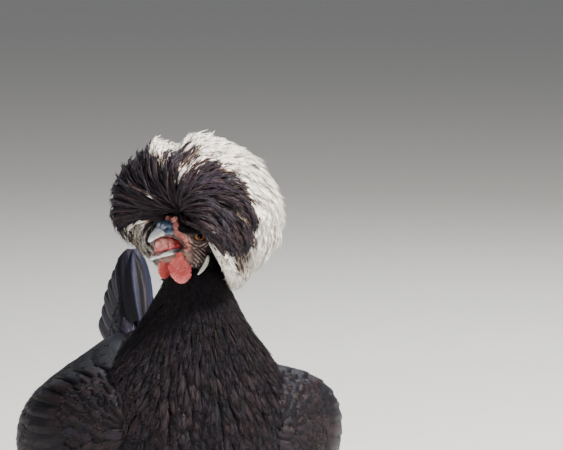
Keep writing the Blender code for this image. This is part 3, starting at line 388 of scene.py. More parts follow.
def shell_object(name, shell):
    """A mesh object from a body-frame shell, in packed metres."""
    points, faces = shell
    mesh = bpy.data.meshes.new(name)
    mesh.from_pydata(((points + SHIFT) * MM).tolist(), [], faces)
    mesh.update()
    obj = bpy.data.objects.new(name, mesh)
    bpy.context.scene.collection.objects.link(obj)
    return obj


def apply_modifiers(obj):
    bpy.context.view_layer.update()
    graph = bpy.context.evaluated_depsgraph_get()
    made = bpy.data.meshes.new_from_object(obj.evaluated_get(graph))
    obj.modifiers.clear()
    old = obj.data
    obj.data = made
    bpy.data.meshes.remove(old)
    return obj


def remeshed(obj, size, smoothing=0):
    """One even closed surface round all of an object's shells; size in millimetres."""
    modifier = obj.modifiers.new("even", "REMESH")
    modifier.mode = "VOXEL"
    modifier.voxel_size = size * MM
    if smoothing:
        smooth = obj.modifiers.new("soften", "SMOOTH")
        smooth.factor = 0.5
        smooth.iterations = smoothing
    return apply_modifiers(obj)


def head_object(name, shells):
    """A mesh object from head-frame shells."""
    return shell_object(name, in_body(joined(shells)))


def boolean(obj, others, operation):
    group = bpy.data.collections.new(obj.name + "_operands")
    for other in others:
        group.objects.link(other)
    modifier = obj.modifiers.new(operation.lower(), "BOOLEAN")
    modifier.operand_type = "COLLECTION"
    modifier.collection = group
    modifier.operation = operation
    modifier.solver = "MANIFOLD"
    apply_modifiers(obj)
    for other in others:
        bpy.data.objects.remove(other)
    bpy.data.collections.remove(group)


def head_boolean(obj, shells, operation):
    """Cuts away or adds head-frame shells."""
    boolean(obj, [shell_object("operand", in_body(shell)) for shell in shells], operation)


def drop_crumbs(obj):
    """Delete every loose bit of a mesh but the largest."""
    mesh = bmesh.new()
    mesh.from_mesh(obj.data)
    left, bits = set(mesh.verts), []
    while left:
        bit = [left.pop()]
        for vertex in bit:
            near = {edge.other_vert(vertex) for edge in vertex.link_edges} & left
            left -= near
            bit.extend(near)
        bits.append(bit)
    bits.sort(key=len)
    bmesh.ops.delete(mesh, geom=[vertex for bit in bits[:-1] for vertex in bit], context="VERTS")
    mesh.to_mesh(obj.data)
    mesh.free()


def read_points(obj):
    """An object's points in the body frame."""
    flat = np.empty(len(obj.data.vertices) * 3)
    obj.data.vertices.foreach_get("co", flat)
    return flat.reshape(-1, 3) / MM - SHIFT


def read_normals(obj):
    flat = np.empty(len(obj.data.vertices) * 3)
    obj.data.vertex_normals.foreach_get("vector", flat)
    return flat.reshape(-1, 3)


def write_points(obj, points):
    obj.data.vertices.foreach_set("co", ((points + SHIFT) * MM).ravel())
    obj.data.update()


def push_out(obj, points, distances):
    """Puts an object's points at new places, moved along its normals by so many millimetres."""
    write_points(obj, points + read_normals(obj) * distances[:, None])


def read_triangles(obj):
    obj.data.calc_loop_triangles()
    flat = np.empty(len(obj.data.loop_triangles) * 3, np.int32)
    obj.data.loop_triangles.foreach_get("vertices", flat)
    return flat.reshape(-1, 3)


def set_values(obj, **values):
    """Stores numbers for each point, which materials read by their names."""
    for name, numbers in values.items():
        attribute = obj.data.attributes.new(name, "FLOAT", "POINT")
        attribute.data.foreach_set("value", np.asarray(numbers, np.float32))


def set_map(obj, name, places):
    """Stores a UV map from one place for each point."""
    corners = np.empty(len(obj.data.loops), np.int32)
    obj.data.loops.foreach_get("vertex_index", corners)
    layer = obj.data.uv_layers.new(name=name)
    layer.data.foreach_set("uv", np.asarray(places, np.float32)[corners].ravel())


def dress(obj, look, slot, *replaced):
    """Gives a finished piece its material and body, and hides the solids it stands for; its slot is not used."""
    obj.data.materials.clear()
    obj.data.materials.append(LOOKS[look])
    obj.data.polygons.foreach_set("use_smooth", np.full(len(obj.data.polygons), True))
    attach(obj, "root")
    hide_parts(*replaced)


def triangle_object(name, points, triangles):
    """A mesh object made of triangles from arrays of body-frame points and corner numbers."""
    mesh = bpy.data.meshes.new(name)
    mesh.vertices.add(len(points))
    mesh.vertices.foreach_set("co", ((points + SHIFT) * MM).astype(np.float32).ravel())
    mesh.loops.add(triangles.size)
    mesh.loops.foreach_set("vertex_index", triangles.astype(np.int32).ravel())
    mesh.polygons.add(len(triangles))
    mesh.polygons.foreach_set("loop_start", np.arange(0, triangles.size, 3, dtype=np.int32))
    mesh.update(calc_edges=True)
    obj = bpy.data.objects.new(name, mesh)
    bpy.context.scene.collection.objects.link(obj)
    return obj


# --- Feathers from arrays ---
# Feathers come in batches: paths (n, k, 3) from root to tip, outward normals (n, k, 3), half widths (n, k).

# Cross-sections as rows of share across, rise as a share of the half width, and thickness in millimetres.
BLADE_SECTION = np.array(((-1, 0, 0), (0, 0.45, 0.12), (1, 0, 0)))
VANE_SECTION = np.array(((-1, 0, 0), (-0.45, 0.05, 0.12), (0, 0.08, 0.22), (0.45, 0.05, 0.12), (1, 0, 0)))
QUILL_SECTION = np.array((
    (-1, -0.02, 0.05), (-0.66, 0.05, 0.18), (-0.34, 0.09, 0.22), (-0.08, 0.11, 0.26), (0, 0.11, 0.62),
    (0.08, 0.11, 0.26), (0.34, 0.09, 0.22), (0.66, 0.05, 0.18), (1, -0.02, 0.05), (0.66, 0.05, -0.14),
    (0, 0.11, -0.3), (-0.66, 0.05, -0.14),
))


def path_frames(paths, normals, tilt=None):
    """Sideways and outward directions along each path, turned about it by its tilt."""
    ahead = np.gradient(paths, axis=1)
    side = unit(np.cross(normals, ahead))
    out = unit(np.cross(ahead, side))
    if tilt is None:
        return side, out
    turn = tilt[:, None, None]
    return side * np.cos(turn) + out * np.sin(turn), out * np.cos(turn) - side * np.sin(turn)


def strip_triangles(steps, count):
    """Triangles of one closed strip: rings of count points, then a single point at the tip."""
    found = []
    for ring in range(steps - 2):
        for j in range(count):
            a, b = ring * count + j, ring * count + (j + 1) % count
            found += [(a, a + count, b), (b, a + count, b + count)]
    last = (steps - 2) * count
    tip = (steps - 1) * count
    found += [(last + j, tip, last + (j + 1) % count) for j in range(count)]
    found += [(0, j, j + 1) for j in range(1, count - 1)]
    return np.array(found, np.int64)


def strips(paths, normals, halves, section, tilt=None):
    """Closed strips along paths. Returns points, triangles, places across and along, and owners."""
    number, steps = paths.shape[:2]
    count = len(section)
    side, out = path_frames(paths, normals, tilt)
    across, rise, thick = section.T
    shares = np.linspace(0.0, 1.0, steps)
    wide = halves[:, :, None]
    reach = (wide * across)[..., None] * side[:, :, None]
    lift = (wide * rise + thick * (1.0 - 0.6 * shares[None, :, None]))[..., None] * out[:, :, None]
    rings = (paths[:, :, None] + reach + lift)[:, :-1].reshape(number, -1, 3)
    points = np.concatenate([rings, paths[:, -1:]], axis=1)
    per = points.shape[1]
    triangles = (strip_triangles(steps, count)[None] + per * np.arange(number)[:, None, None]).reshape(-1, 3)
    over = np.append(np.tile((across + 1) / 2, steps - 1), 0.5)
    places = np.tile(stacked(over, np.append(np.repeat(shares[:-1], count), 1.0)), (number, 1))
    return points.reshape(-1, 3), triangles, places, np.repeat(np.arange(number), per)


def along_path(values, shares):
    """Values of (n, k, 3) paths at shares (n, b), past the tip too."""
    steps = values.shape[1] - 1
    place = np.clip(shares, 0.0, 1.6) * steps
    low = np.minimum(place.astype(int), steps - 1)
    rest = (place - low)[..., None]
    rows = np.arange(len(values))[:, None]
    start, end = values[rows, low], values[rows, low + 1]
    return start + (end - start) * rest


def vane_outline(shares, root, widest, tip):
    """Half width along a feather as a share of its widest: narrow root, full middle, round tip."""
    rise = np.clip(shares / widest, 0.0, 1.0)
    opening = root + (1.0 - root) * np.sin(rise * math.pi / 2)
    fall = np.clip((shares - widest) / (1.0 - widest), 0.0, 1.0)
    closing = np.maximum(tip, np.sqrt(np.maximum(0.0, 1.0 - fall**2)))
    return opening * closing


def tip_dense(count):
    """Shares along a feather, closer together towards its rounded tip."""
    return 1.0 - (1.0 - np.linspace(0.0, 1.0, count)) ** 1.8


# The share of the bake map's width that one feather takes up.
OWN_PATCH = 0.003


class Plumage:
    """Collects batches of strips, with each feather's tone and root place, and makes pieces of them."""

    def __init__(self):
        self.parts = []
        self.start = 0

    def add(self, batch, tones, roots, marks=None, across_scale=1.0, along_start=0.0):
        """tones (n, 2) and roots (n, 2) belong to the batch's strips, and marks (n, k) run along each."""
        points, triangles, places, owners = batch
        places = stacked(0.5 + (places[:, 0] - 0.5) * across_scale, lerp(along_start, 1.0, places[:, 1]))
        mark = np.zeros(len(points))
        if marks is not None:
            place = places[:, 1] * (marks.shape[1] - 1)
            step = np.minimum(place.astype(int), marks.shape[1] - 2)
            mark = lerp(marks[owners, step], marks[owners, step + 1], place - step)
        self.parts.append((points, triangles + self.start, places, tones[owners], mark, roots[owners]))
        self.start += len(points)

    def make(self, name):
        points, triangles, places, tones, marks, roots = (np.concatenate(rows) for rows in zip(*self.parts))
        obj = triangle_object(name, points, triangles)
        set_map(obj, "feather", places)
        set_map(obj, "OFBake", roots * (1.0 - OWN_PATCH) + places * OWN_PATCH)
        set_values(obj, tone=tones[:, 0], tint=tones[:, 1], mark=marks)
        return obj


def add_feathers(plumage, rng, feathers, barbs):
    """Feathers with a vane and a fringe of loose barbs.

    feathers: paths, normals, half widths, tones, roots, tilts and, on the crest, marks. barbs: how many on each
    side, share of the length that each runs, half width, how far they fray out as a share of the half width,
    and how far they lift in millimetres.
    """
    paths, normals, halves, tones, roots, tilt, *marks = feathers
    number, steps = halves.shape
    per_side, run, barb_half, fray, lift = barbs
    plumage.add(strips(paths, normals, halves, VANE_SECTION, tilt), tones, roots, *marks)
    side, out = path_frames(paths, normals, tilt)
    count = 2 * per_side
    signs = np.tile((1.0, -1.0), per_side)
    base = np.repeat(np.linspace(0.30, 0.93, per_side), 2)
    starts = base + rng.uniform(-0.04, 0.04, (number, count))
    ends = starts + run * rng.uniform(0.7, 1.2, (number, count))
    ends = np.minimum(ends, 1.0 + 0.10 * rng.uniform(0.2, 1.0, (number, count)))
    widest = np.take_along_axis(halves, np.clip((ends * (steps - 1)).astype(int), 0, steps - 2), axis=1)
    spread = widest * (1.0 + fray * rng.uniform(-0.6, 1.0, (number, count)))
    rise = lift * rng.uniform(-0.1, 1.0, (number, count))
    made = []
    bases = []
    for share in (0.0, 0.5, 1.0):
        at = lerp(starts, ends, share)
        across = along_path(side, np.minimum(at, 1.0)) * (signs * spread)[..., None] * share**0.8
        outward = along_path(out, np.minimum(at, 1.0))
        made.append(along_path(paths, at) + across + outward * (0.25 + rise * share**2)[..., None])
        bases.append(outward)
    barb_paths, barb_normals = (np.stack(v, axis=2).reshape(number * count, 3, 3) for v in (made, bases))
    barb_halves = barb_half * rng.uniform(0.7, 1.25, (number * count, 1)) * np.array((0.75, 1.0, 0.0))
    owners = np.repeat(np.arange(number), count)
    wobble = tones[owners].copy()
    wobble[:, 0] = np.clip(wobble[:, 0] + rng.uniform(-0.35, 0.35, len(wobble)), 0.0, 1.0)
    batch = strips(barb_paths, barb_normals, barb_halves, BLADE_SECTION)
    plumage.add(batch, wobble, roots[owners], *(v[owners] for v in marks), across_scale=0.6, along_start=0.35)


def make_coat(name, rng, feathers, barbs, *nodes):
    """One piece of black feathers that stands for the named nodes."""
    plumage = Plumage()
    add_feathers(plumage, rng, feathers, barbs)
    dress(plumage.make(name), "black_feather", "black_feather", *nodes)


# --- Surfaces that feathers lie on ---


class Sleeve:
    """A surface of rings that feathers lie on. Places are t, from first ring to last, and a, round it."""

    def __init__(self, grid):
        self.points = grid
        middles = grid.mean(axis=1, keepdims=True)
        along = np.gradient(grid, axis=0)
        around = np.roll(grid, -1, axis=1) - np.roll(grid, 1, axis=1)
        normals = unit(np.cross(around, along))
        if dots(normals, grid - middles).mean() < 0:
            normals = -normals
        self.normals = normals
        self.speed = np.linalg.norm(along, axis=-1, keepdims=True) * (len(grid) - 1)
        width = np.linalg.norm(around, axis=-1) / 2
        self.area = width * self.speed[..., 0]

    def at(self, table, t, a):
        rings, count = table.shape[:2]
        row = np.clip(t, 0.0, 1.0) * (rings - 1)
        low = np.minimum(row.astype(int), rings - 2)
        down = (row - low)[..., None]
        column = (a % 1.0) * count
        left = column.astype(int) % count
        right = (left + 1) % count
        over = (column - np.floor(column))[..., None]
        first = lerp(table[low, left], table[low, right], over)
        second = lerp(table[low + 1, left], table[low + 1, right], over)
        return lerp(first, second, down)

    def spread(self, count, density):
        """Evenly spread places, more where density (rings, count) is higher."""
        weight = self.area * density
        rows = np.cumsum(weight.sum(axis=1))
        u, v = even_pairs(count)
        place = np.interp(u * rows[-1], np.concatenate([[0.0], rows]), np.arange(len(rows) + 1))
        row = np.minimum(place.astype(int), len(rows) - 1)
        columns = np.cumsum(weight, axis=1)
        columns = np.concatenate([np.zeros((len(rows), 1)), columns], axis=1)
        goal = v * columns[row, -1]
        t = place / len(rows)
        a = np.empty(count)
        for i, (r, g) in enumerate(zip(row, goal)):
            a[i] = np.interp(g, columns[r], np.arange(columns.shape[1]))
        return t, a / weight.shape[1]

    def lay(self, t, a, lengths, steps, root_depth, tip_height, drift, hump=0.0):
        """Paths along the surface towards the first ring, rising from a depth to a height."""
        paths = np.empty((len(t), steps + 1, 3))
        normals = np.empty_like(paths)
        t, a = t.copy(), a.copy()
        beyond = np.zeros((len(t), 3))
        before = None
        for step in range(steps + 1):
            share = step / steps
            height = -root_depth + (root_depth + tip_height) * share**0.7 + hump * math.sin(math.pi * share)
            ground = self.at(self.points, t, a) + beyond
            normal = unit(self.at(self.normals, t, a))
            paths[:, step] = ground + normal * np.asarray(height).reshape(-1, 1)
            normals[:, step] = normal
            stride = lengths / steps
            past = t < 0.004
            if before is not None:
                ahead = unit(ground - before)
                beyond = beyond + np.where(past[:, None], ahead * stride[:, None], 0.0)
            before = ground
            t = np.where(past, t, t - stride / self.at(self.speed, t, a)[:, 0])
            a = a + drift * stride
        return paths, normals


def trunk_grid(per_span=10, count=144):
    table = spline_table(TRUNK_RINGS, per_span)
    back = table[:, [5, 0, 1]]
    front = table[:, [5, 2, 3]]
    middle = ((back + front) / 2)[:, None]
    half = ((back - front) / 2)[:, None]
    around = ring_angles(count)[None, :, None]
    across = np.array((1.0, 0.0, 0.0)) * table[:, 4][:, None, None]
    return middle + across * np.cos(around) + half * np.sin(around)


TRUNK = Sleeve(trunk_grid())


def trunk_place(ring):
    """The share along the trunk's rings of a ring's number."""
    return ring / (len(TRUNK_RINGS) - 1)


WING_TABLE = spline_table(WING_RINGS, 12)


def wing_point(along, down, sign):
    """Places on a wing's outer face: along from wrist to tail, down from the top edge to the lower."""
    place = np.clip(along, 0.0, 1.0) * (len(WING_TABLE) - 1)
    row = np.minimum(place.astype(int), len(WING_TABLE) - 2)
    rest = (place - row)[..., None]
    y, top_x, top_z, out_x, out_z, low_x, low_z = np.moveaxis(
        lerp(WING_TABLE[row], WING_TABLE[row + 1], rest), -1, 0
    )
    y = y + np.maximum(0.0, along - 1.0) * (WING_RINGS[-1][0] - WING_RINGS[0][0])
    a, b, c = (1 - down) ** 2, 2 * down * (1 - down), down**2
    drop = WING_LEFT_DROP if sign > 0 else 0.0
    x = sign * (a * top_x + b * out_x + c * low_x)
    return stacked(x, y, a * top_z + b * out_z + c * low_z - drop)


def wing_normal(along, down, sign):
    step = 0.01
    lengthwise = wing_point(along + step, down, sign) - wing_point(along - step, down, sign)
    crosswise = wing_point(along, down + step, sign) - wing_point(along, down - step, sign)
    normal = unit(np.cross(lengthwise, crosswise))
    return np.where(normal[..., :1] * sign > 0, normal, -normal)


# --- Skin ---

BODY_DEPTH = 7.0
NECK_DEPTH = 4.5
HEAD_DEPTH = 2.2
BODY_VOXEL = 2.8
FACE_VOXEL = 0.6
STUB_RING = 12.6
STUB_TUCK = 1.6
THIGH_DEPTH = 5.0
WING_SKIN_DEPTH = 4.0
WING_ARM_SPAN = 0.70
WING_ARM_FRONT = (34.0, 34.0)
WING_ARM_REAR = (22.0, 6.0)
WING_ARM_MOST = 0.7


def coat_depth(t):
    """How deep the skin lies under the coat, by place along the trunk."""
    return np.interp(
        t,
        [trunk_place(r) for r in (0, 9, 12, 13.6, 14.4, 15)],
        [BODY_DEPTH, BODY_DEPTH, NECK_DEPTH, NECK_DEPTH, HEAD_DEPTH, 1.0],
    )


def trunk_shell(first, last, tuck=0.0):
    """The trunk between two ring numbers, drawn in by the coat's depth; tuck draws its first end in more."""
    rings = len(TRUNK.points)
    low = int(trunk_place(first) * (rings - 1))
    high = int(trunk_place(last) * (rings - 1)) + 1
    t = np.linspace(0.0, 1.0, rings)[low:high, None, None]
    extra = tuck * np.linspace(1.0, 0.0, high - low)[:, None, None]
    grid = TRUNK.points[low:high] - TRUNK.normals[low:high] * (coat_depth(t) + extra)
    return sleeve(grid[:, ::3])


def wing_arm_shell(sign):
    """The flesh of a wing from the wrist back, inside its coverts."""
    along = np.linspace(0.03, WING_ARM_SPAN, 24)
    down = np.linspace(0.05, 0.93, 14)
    along, down = np.meshgrid(along, down, indexing="ij")
    outer = wing_point(along, down, sign) - wing_normal(along, down, sign) * WING_SKIN_DEPTH
    share = (along / WING_ARM_SPAN)[..., None]
    top = lerp(WING_ARM_FRONT[0], WING_ARM_REAR[0], share)
    low = lerp(WING_ARM_FRONT[1], WING_ARM_REAR[1], share)
    axis = outer.copy()
    axis[..., 0] = sign * WING_AXIS[0]
    axis[..., 2] = WING_AXIS[1]
    reach = np.linalg.norm(axis - outer, axis=-1, keepdims=True)
    thick = np.minimum(lerp(top, low, down[..., None]) - 2 * WING_SKIN_DEPTH, WING_ARM_MOST * reach)
    inner = outer + (axis - outer) / reach * np.maximum(thick, 2.5)
    return sleeve(np.concatenate([outer, inner[:, ::-1]], axis=1))


def thigh_places(sign):
    return [mirrored(place, sign) for place in LEG]


def body_skin():
    shells = [trunk_shell(0.8, 13.2), egg(TAIL_ROOT, (TAIL_ROOT_TILT, 0.0, 0.0))]
    for sign, _ in SIDES:
        shells.append(limb(thigh_places(sign), [r - THIGH_DEPTH * min(1.0, r / 30.0) for r in THIGH_RADII]))
        shells.append(wing_arm_shell(sign))
    return remeshed(shell_object("skin_body", joined(shells)), BODY_VOXEL, smoothing=3)


BROW_RIDGE = ((9.5, -9.5, 7.4), (13, -3, 8.6), (15.4, 4, 8.2), (15.8, 10, 5))
BROW_RIDGE_RADII = (2.0, 2.5, 2.5, 2.0)
RICTUS = ((7, -20.5, -0.9), (8.6, -13.5, -3.4), (10, -8, -8.4), (9.4, -10.8, -12), (7.7, -18.5, -14.6))
RICTUS_RADII = (0.9, 1.4, 1.9, 1.5, 0.9)
LID_RIM_RADIUS = 0.62
LID_RIM_REACH = 6.25


def eye_axes(sign):
    """An eye's own directions: outwards, backwards and up."""
    across, along = math.cos(EYE_TURN), math.sin(EYE_TURN)
    out, ahead = np.array((sign * across, -along, 0.0)), np.array((sign * along, across, 0.0))
    return out, ahead, np.array((0.0, 0.0, 1.0))


def lid_edge(count=56):
    """The lids' opening on the eye: distances back, up and out from its centre."""
    around = ring_angles(count)
    low = np.zeros(count)
    high = np.full(count, LID_RIM_REACH * 0.98)
    for _ in range(30):
        middle = (low + high) / 2
        back, up = middle * np.cos(around), middle * np.sin(around)
        out = np.sqrt(LID_RIM_REACH**2 - middle**2)
        a, b, c = LID_OPENING_RADII
        inside = ((out - LID_OPENING_OUT) / a) ** 2 + (back / b) ** 2
        inside = inside + ((up + LID_OPENING_DROP) / c) ** 2 < 1.0
        low, high = np.where(inside, middle, low), np.where(inside, high, middle)
    return stacked(low * np.cos(around), low * np.sin(around), np.sqrt(LID_RIM_REACH**2 - low**2))


def lid_rim(sign):
    """The rolled edge of the lids, a closed loop on the eye."""
    out, back, up = eye_axes(sign)
    edge = lid_edge()
    path = mirrored(EYE_AT, sign) + edge[:, :1] * back + edge[:, 1:2] * up + edge[:, 2:] * out
    away = unit(path - mirrored(EYE_AT, sign))
    side = np.cross(unit(np.roll(path, -1, axis=0) - np.roll(path, 1, axis=0)), away)
    around = ring_angles(10)[None, :, None]
    grid = path[:, None] + (side[:, None] * np.cos(around) + away[:, None] * np.sin(around)) * LID_RIM_RADIUS
    rings, count = grid.shape[:2]
    faces = []
    for i in range(rings):
        for j in range(count):
            after, over = (i + 1) % rings, (j + 1) % count
            faces.append((i * count + j, i * count + over, after * count + over, after * count + j)[::-sign])
    return grid.reshape(-1, 3), faces


def mouth_cutter():
    ends = (-MOUTH_HALF_WIDTH, MOUTH_HALF_WIDTH)
    return sleeve(np.array([[(x, y, z) for y, z in MOUTH_OUTLINE] for x in ends]))


def eye_cutters(sign):
    out = eye_axes(sign)[0]
    opening = EYE_AT + mirrored(out, sign) * LID_OPENING_OUT
    opening[2] -= LID_OPENING_DROP
    return [
        egg((EYE_AT, [EYE_RADIUS + SOCKET_GAP] * 3), sign=sign),
        egg((opening, LID_OPENING_RADII), (0.0, 0.0, -sign * EYE_TURN), sign),
        egg((EAR_AT, [EAR_RADIUS] * 3), sign=sign),
    ]


def head_skin():
    shells = [oval_sleeve(SKULL_RINGS), egg(KNOB), egg(CHIN, (GAPE_ANGLE, 0.0, 0.0))]
    cutters = [mouth_cutter()]
    rims = []
    for sign, _ in SIDES:
        shells += [egg(CHEEK, sign=sign), egg(JOWL, sign=sign)]
        shells.append(egg((EYE_AT, [EYE_RADIUS + SOCKET_GAP + LID_THICK] * 3), sign=sign))
        shells.append(limb([mirrored(p, sign) for p in BROW_RIDGE], BROW_RIDGE_RADII, count=16))
        cutters += eye_cutters(sign)
        rims += [lid_rim(sign), limb([mirrored(p, sign) for p in RICTUS], RICTUS_RADII, count=14)]
    shells = [in_body(shell) for shell in shells] + [trunk_shell(STUB_RING, 15.0, STUB_TUCK)]
    head = remeshed(shell_object("skin_head", joined(shells)), FACE_VOXEL, smoothing=5)
    head_boolean(head, cutters, "DIFFERENCE")
    head_boolean(head, rims, "UNION")
    return remeshed(head, FACE_VOXEL, smoothing=2)


def sharp_folds(phase):
    """Broad ridges with narrow creases between them, from -1 to 1."""
    return 2.0 * np.abs(np.sin(phase / 2.0)) ** 0.7 - 1.0


BROW_LINE = ((-24, 12), (-20, 9.5), (-17, 4.2), (-7, 4.2), (0, 5.2), (6, 4.2), (14, -3), (27, -20))


def brow_line(y):
    """Height of the bare face's upper edge along the head."""
    along, heights = zip(*BROW_LINE)
    return np.interp(y, along, heights)


def bare_face(head_points):
    """1 on the bare skin of the face, mouth and throat, 0 where feathers grow."""
    x, y, z = np.abs(head_points[:, 0]), head_points[:, 1], head_points[:, 2]
    back = 8.6 - 0.28 * np.clip(z, -17.0, 0.0) + 0.55 * np.clip(z + 17.0, -20.0, 0.0)
    edge = np.minimum(back - y, brow_line(y) - z)
    edge = np.minimum(edge, z + 27.5 - 0.3 * np.maximum(0.0, y))
    throat = np.minimum(9.5 - x, np.minimum(-7.0 - y, z + 25.0))
    return ramp(np.maximum(edge, throat), -0.8, 1.2)


def near_line(points, line, width):
    """1 on a broken line of points and less away from it."""
    best = np.full(len(points), 1e9)
    line = np.asarray(line, float)
    for start, end in zip(line, line[1:]):
        span = end - start
        share = np.clip((points - start) @ span / (span @ span), 0.0, 1.0)[:, None]
        best = np.minimum(best, np.linalg.norm(points - start - share * span, axis=1))
    return np.exp(-((best / width) ** 2))


LORE_LINE = ((9, -17.5, 4), (12.4, -12, -0.5), (14.2, -7, -5), (13.4, -10, -11.2))
CERE_LINE = ((7.5, -18.5, 4.5), (9.8, -17.5, 1.3), (11.3, -14, -1.4), (13.4, -9.9, -5.2), (13.6, -9, -9.5))
RICTAL_GROOVE = ((7.3, -21.8, 0.8), (8.8, -18.5, -1), (10.1, -15, -3.3), (11, -11, -6.4), (13, -9.2, -8.4))
GROOVE_WIDTH = 1.1
GROOVE_DEPTH = 0.7


def sculpt_face(skin):
    """Folds, pits and colours of the face, as moved points and stored numbers."""
    head = to_head(read_points(skin))
    normals = read_normals(skin) @ HEAD_ROTATION
    folded = head * stacked(np.where(head[:, 0] > 0, 1.0, -1.0), 1.0, 1.0)
    near = np.nonzero((np.abs(head[:, 1]) < 45) & (np.abs(head[:, 2]) < 45))[0]
    face = folded[near]

    def whole(values):
        """Values near the face, with 0 elsewhere."""
        found = np.zeros(len(head))
        found[near] = values
        return found

    bare = whole(bare_face(head[near]))
    out, back, up = eye_axes(1)
    q = face - EYE_AT
    reach = np.sqrt((q @ back / 1.15) ** 2 + (q @ up) ** 2)
    wave = sharp_folds(2 * math.pi * (reach - 6.7) / 2.5 + 2.4 * noise_at(face, 4.5, 3.0))
    under = ramp(-(q @ up), -1.0, 2.5) * ramp(reach, 6.2, 7.2) * ramp(-reach, -13.5, -10.0)
    slope = face @ np.array((0.0, 0.62, 0.78)) / 2.7
    slanted = sharp_folds(2 * math.pi * slope + 2.2 * noise_at(face, 5.0, 5.0))
    toward_lobe = ramp(face[:, 1], -6.0, -1.0) * ramp(-face[:, 2], 7.0, 10.0)
    crease = whole(wave * under + slanted * toward_lobe * (1.0 - 0.6 * under))
    grain = whole(noise_at(face, 1.3, 8.0))
    groove = whole(near_line(face, RICTAL_GROOVE, GROOVE_WIDTH))
    head += normals * (bare * (0.36 * crease + 0.20 * grain) - GROOVE_DEPTH * groove)[:, None]
    write_points(skin, from_head(head))
    x, y, z = head.T
    red = 0.9 * near_line(folded, CERE_LINE, 2.1)
    pale = np.maximum(0.85 * near_line(folded, LORE_LINE, 2.7), 0.5 * (ramp(-z, 13.0, 15.0) * ramp(-y, 2.0, 7.0)))
    wet = ramp(7.0 - np.abs(x), 0.0, 1.0) * ramp(-y, 8.0, 9.0)
    wet = wet * ramp(z + 15.5, 0.0, 0.6) * ramp(-z - 0.6, 0.0, 0.6)
    wide, high = LID_OPENING_RADII[1:]
    opening = np.hypot((q @ back) / wide, (q @ up + LID_OPENING_DROP) / high)
    rim = np.maximum(whole(ramp(-opening, -1.22, -1.02) * ramp(q @ out, 1.5, 3.0)), ramp(groove, 0.25, 0.65))
    red, pale = np.clip(red, 0.0, 1.0), np.clip(pale, 0.0, 1.0)
    # crease sets the folds' colour as well: painted shade in the creases and painted highlight on the ridges.
    set_values(skin, bare=bare, crease=crease, red=red, pale=pale, wet=wet, rim=rim)


# --- Crest ---


# How far the crest's front is drawn in round the parting, as a share, and over what angle.
PARTING_DEPTH = 0.42
PARTING_WIDTH = 0.52
# The axes, across and up, of the crest's outline as seen from its near side.
NEAR_SIDE_AXES = np.array(((0.643, 0.766, 0), (-0.1, 0.084, 0.991)))
# How far that outline reaches, as a share of the plain oval, by degrees round from the axis across.
CREST_OUTLINE = (
    (-180, 1.04), (-165, 1.04), (-150, 1.02), (-138, 0.96), (-125, 0.93), (-65, 1), (-56, 0.985), (-44, 0.92),
    (-33, 0.955), (-18, 0.98), (0, 0.97), (16, 0.92), (35, 0.91), (50, 0.925), (74, 0.94), (98, 0.985),
    (107, 0.92), (117, 0.84), (125, 0.96), (132, 1.03), (140, 0.98), (156, 1), (180, 1.04),
)
CREST_LUMPS = 0.032
CREST_SWIRL = 0.22
CREST_TWIST = 0.17


def crest_angle(direction):
    return np.arccos(np.clip(direction @ CREST_POLE, -1.0, 1.0))


def crest_reach(direction):
    """Distance from the crest's centre to its outer envelope in each direction."""
    width, depth, height = CREST_RADII
    heights = np.where(direction[..., 2] < 0.0, CREST_LOW_RADIUS, height)
    x, y, z = direction[..., 0] / width, direction[..., 1] / depth, direction[..., 2] / heights
    share = 1.0 - PARTING_DEPTH * np.exp(-((crest_angle(direction) / PARTING_WIDTH) ** 2))
    over, up = direction @ NEAR_SIDE_AXES[0], direction @ NEAR_SIDE_AXES[1]
    angles, outline = zip(*CREST_OUTLINE)
    round_axis = np.interp(np.degrees(np.arctan2(up, over)), angles, outline)
    share = share * (1.0 + (round_axis - 1.0) * (over * over + up * up))
    share = share + CREST_LUMPS * noise_at(direction * 50.0, 17.0, 51.0)
    return share / np.sqrt(x * x + y * y + z * z)


def crest_flow(direction):
    """Which way feathers lie on the crest: away from the brow, falling more towards the back."""
    away = unit(direction * dots(direction, CREST_POLE) - CREST_POLE)
    down = np.array((0.0, 0.0, -1.0)) + direction * direction[..., 2:]
    beside = np.abs(direction[..., 0]) * (1.0 - np.maximum(0.0, direction[..., 2]))
    fall = CREST_FALL * crest_angle(direction) - CREST_FALL_START + CREST_SIDE_FALL * beside
    fall = np.clip(fall, 0.0, CREST_MOST_FALL)[..., None]
    return unit(away * (1.0 - fall) + down * fall)


def crest_paths(starts, lengths, lifts, steps, twist):
    """Feathers that leave the core and bend along the envelope, at once near the parting."""
    direction = starts.copy()
    near_brow = np.maximum(0.0, 1.0 - crest_angle(starts) / CREST_BROW_REACH)
    haste = CREST_HASTE + CREST_BROW_HASTE * near_brow
    paths = []
    normals = []
    for step in range(steps + 1):
        share = step / steps
        rise = 1.0 - (1.0 - share) ** haste
        far = lerp(CREST_ROOT_RADIUS, crest_reach(direction) * (1.0 + lifts), rise)
        paths.append(CREST_AT + direction * far[:, None])
        normals.append(direction.copy())
        turn = lengths / steps / far * (CREST_ROOT_TURN + CREST_TIP_TURN * share)
        flow = crest_flow(direction)
        flow = unit(flow + np.cross(direction, flow) * twist[:, None])
        direction = unit(direction + flow * turn[:, None])
    return np.stack(paths, axis=1), np.stack(normals, axis=1)


def in_face(points):
    """Whether places lie over the face or the bill, where no crest feather hangs."""
    x, y, z = points[..., 0], points[..., 1], points[..., 2]
    brow = BROW_Z - BROW_FALL * np.abs(x) + BROW_RISE * np.maximum(0.0, BROW_AHEAD_Y - y)
    edge = FACE_EDGE_Z - FACE_EDGE_BACK * y - FACE_EDGE_OUT * np.abs(x)
    return z < np.minimum(brow, edge) + np.where(x < 0.0, *FACE_LEAN) * x


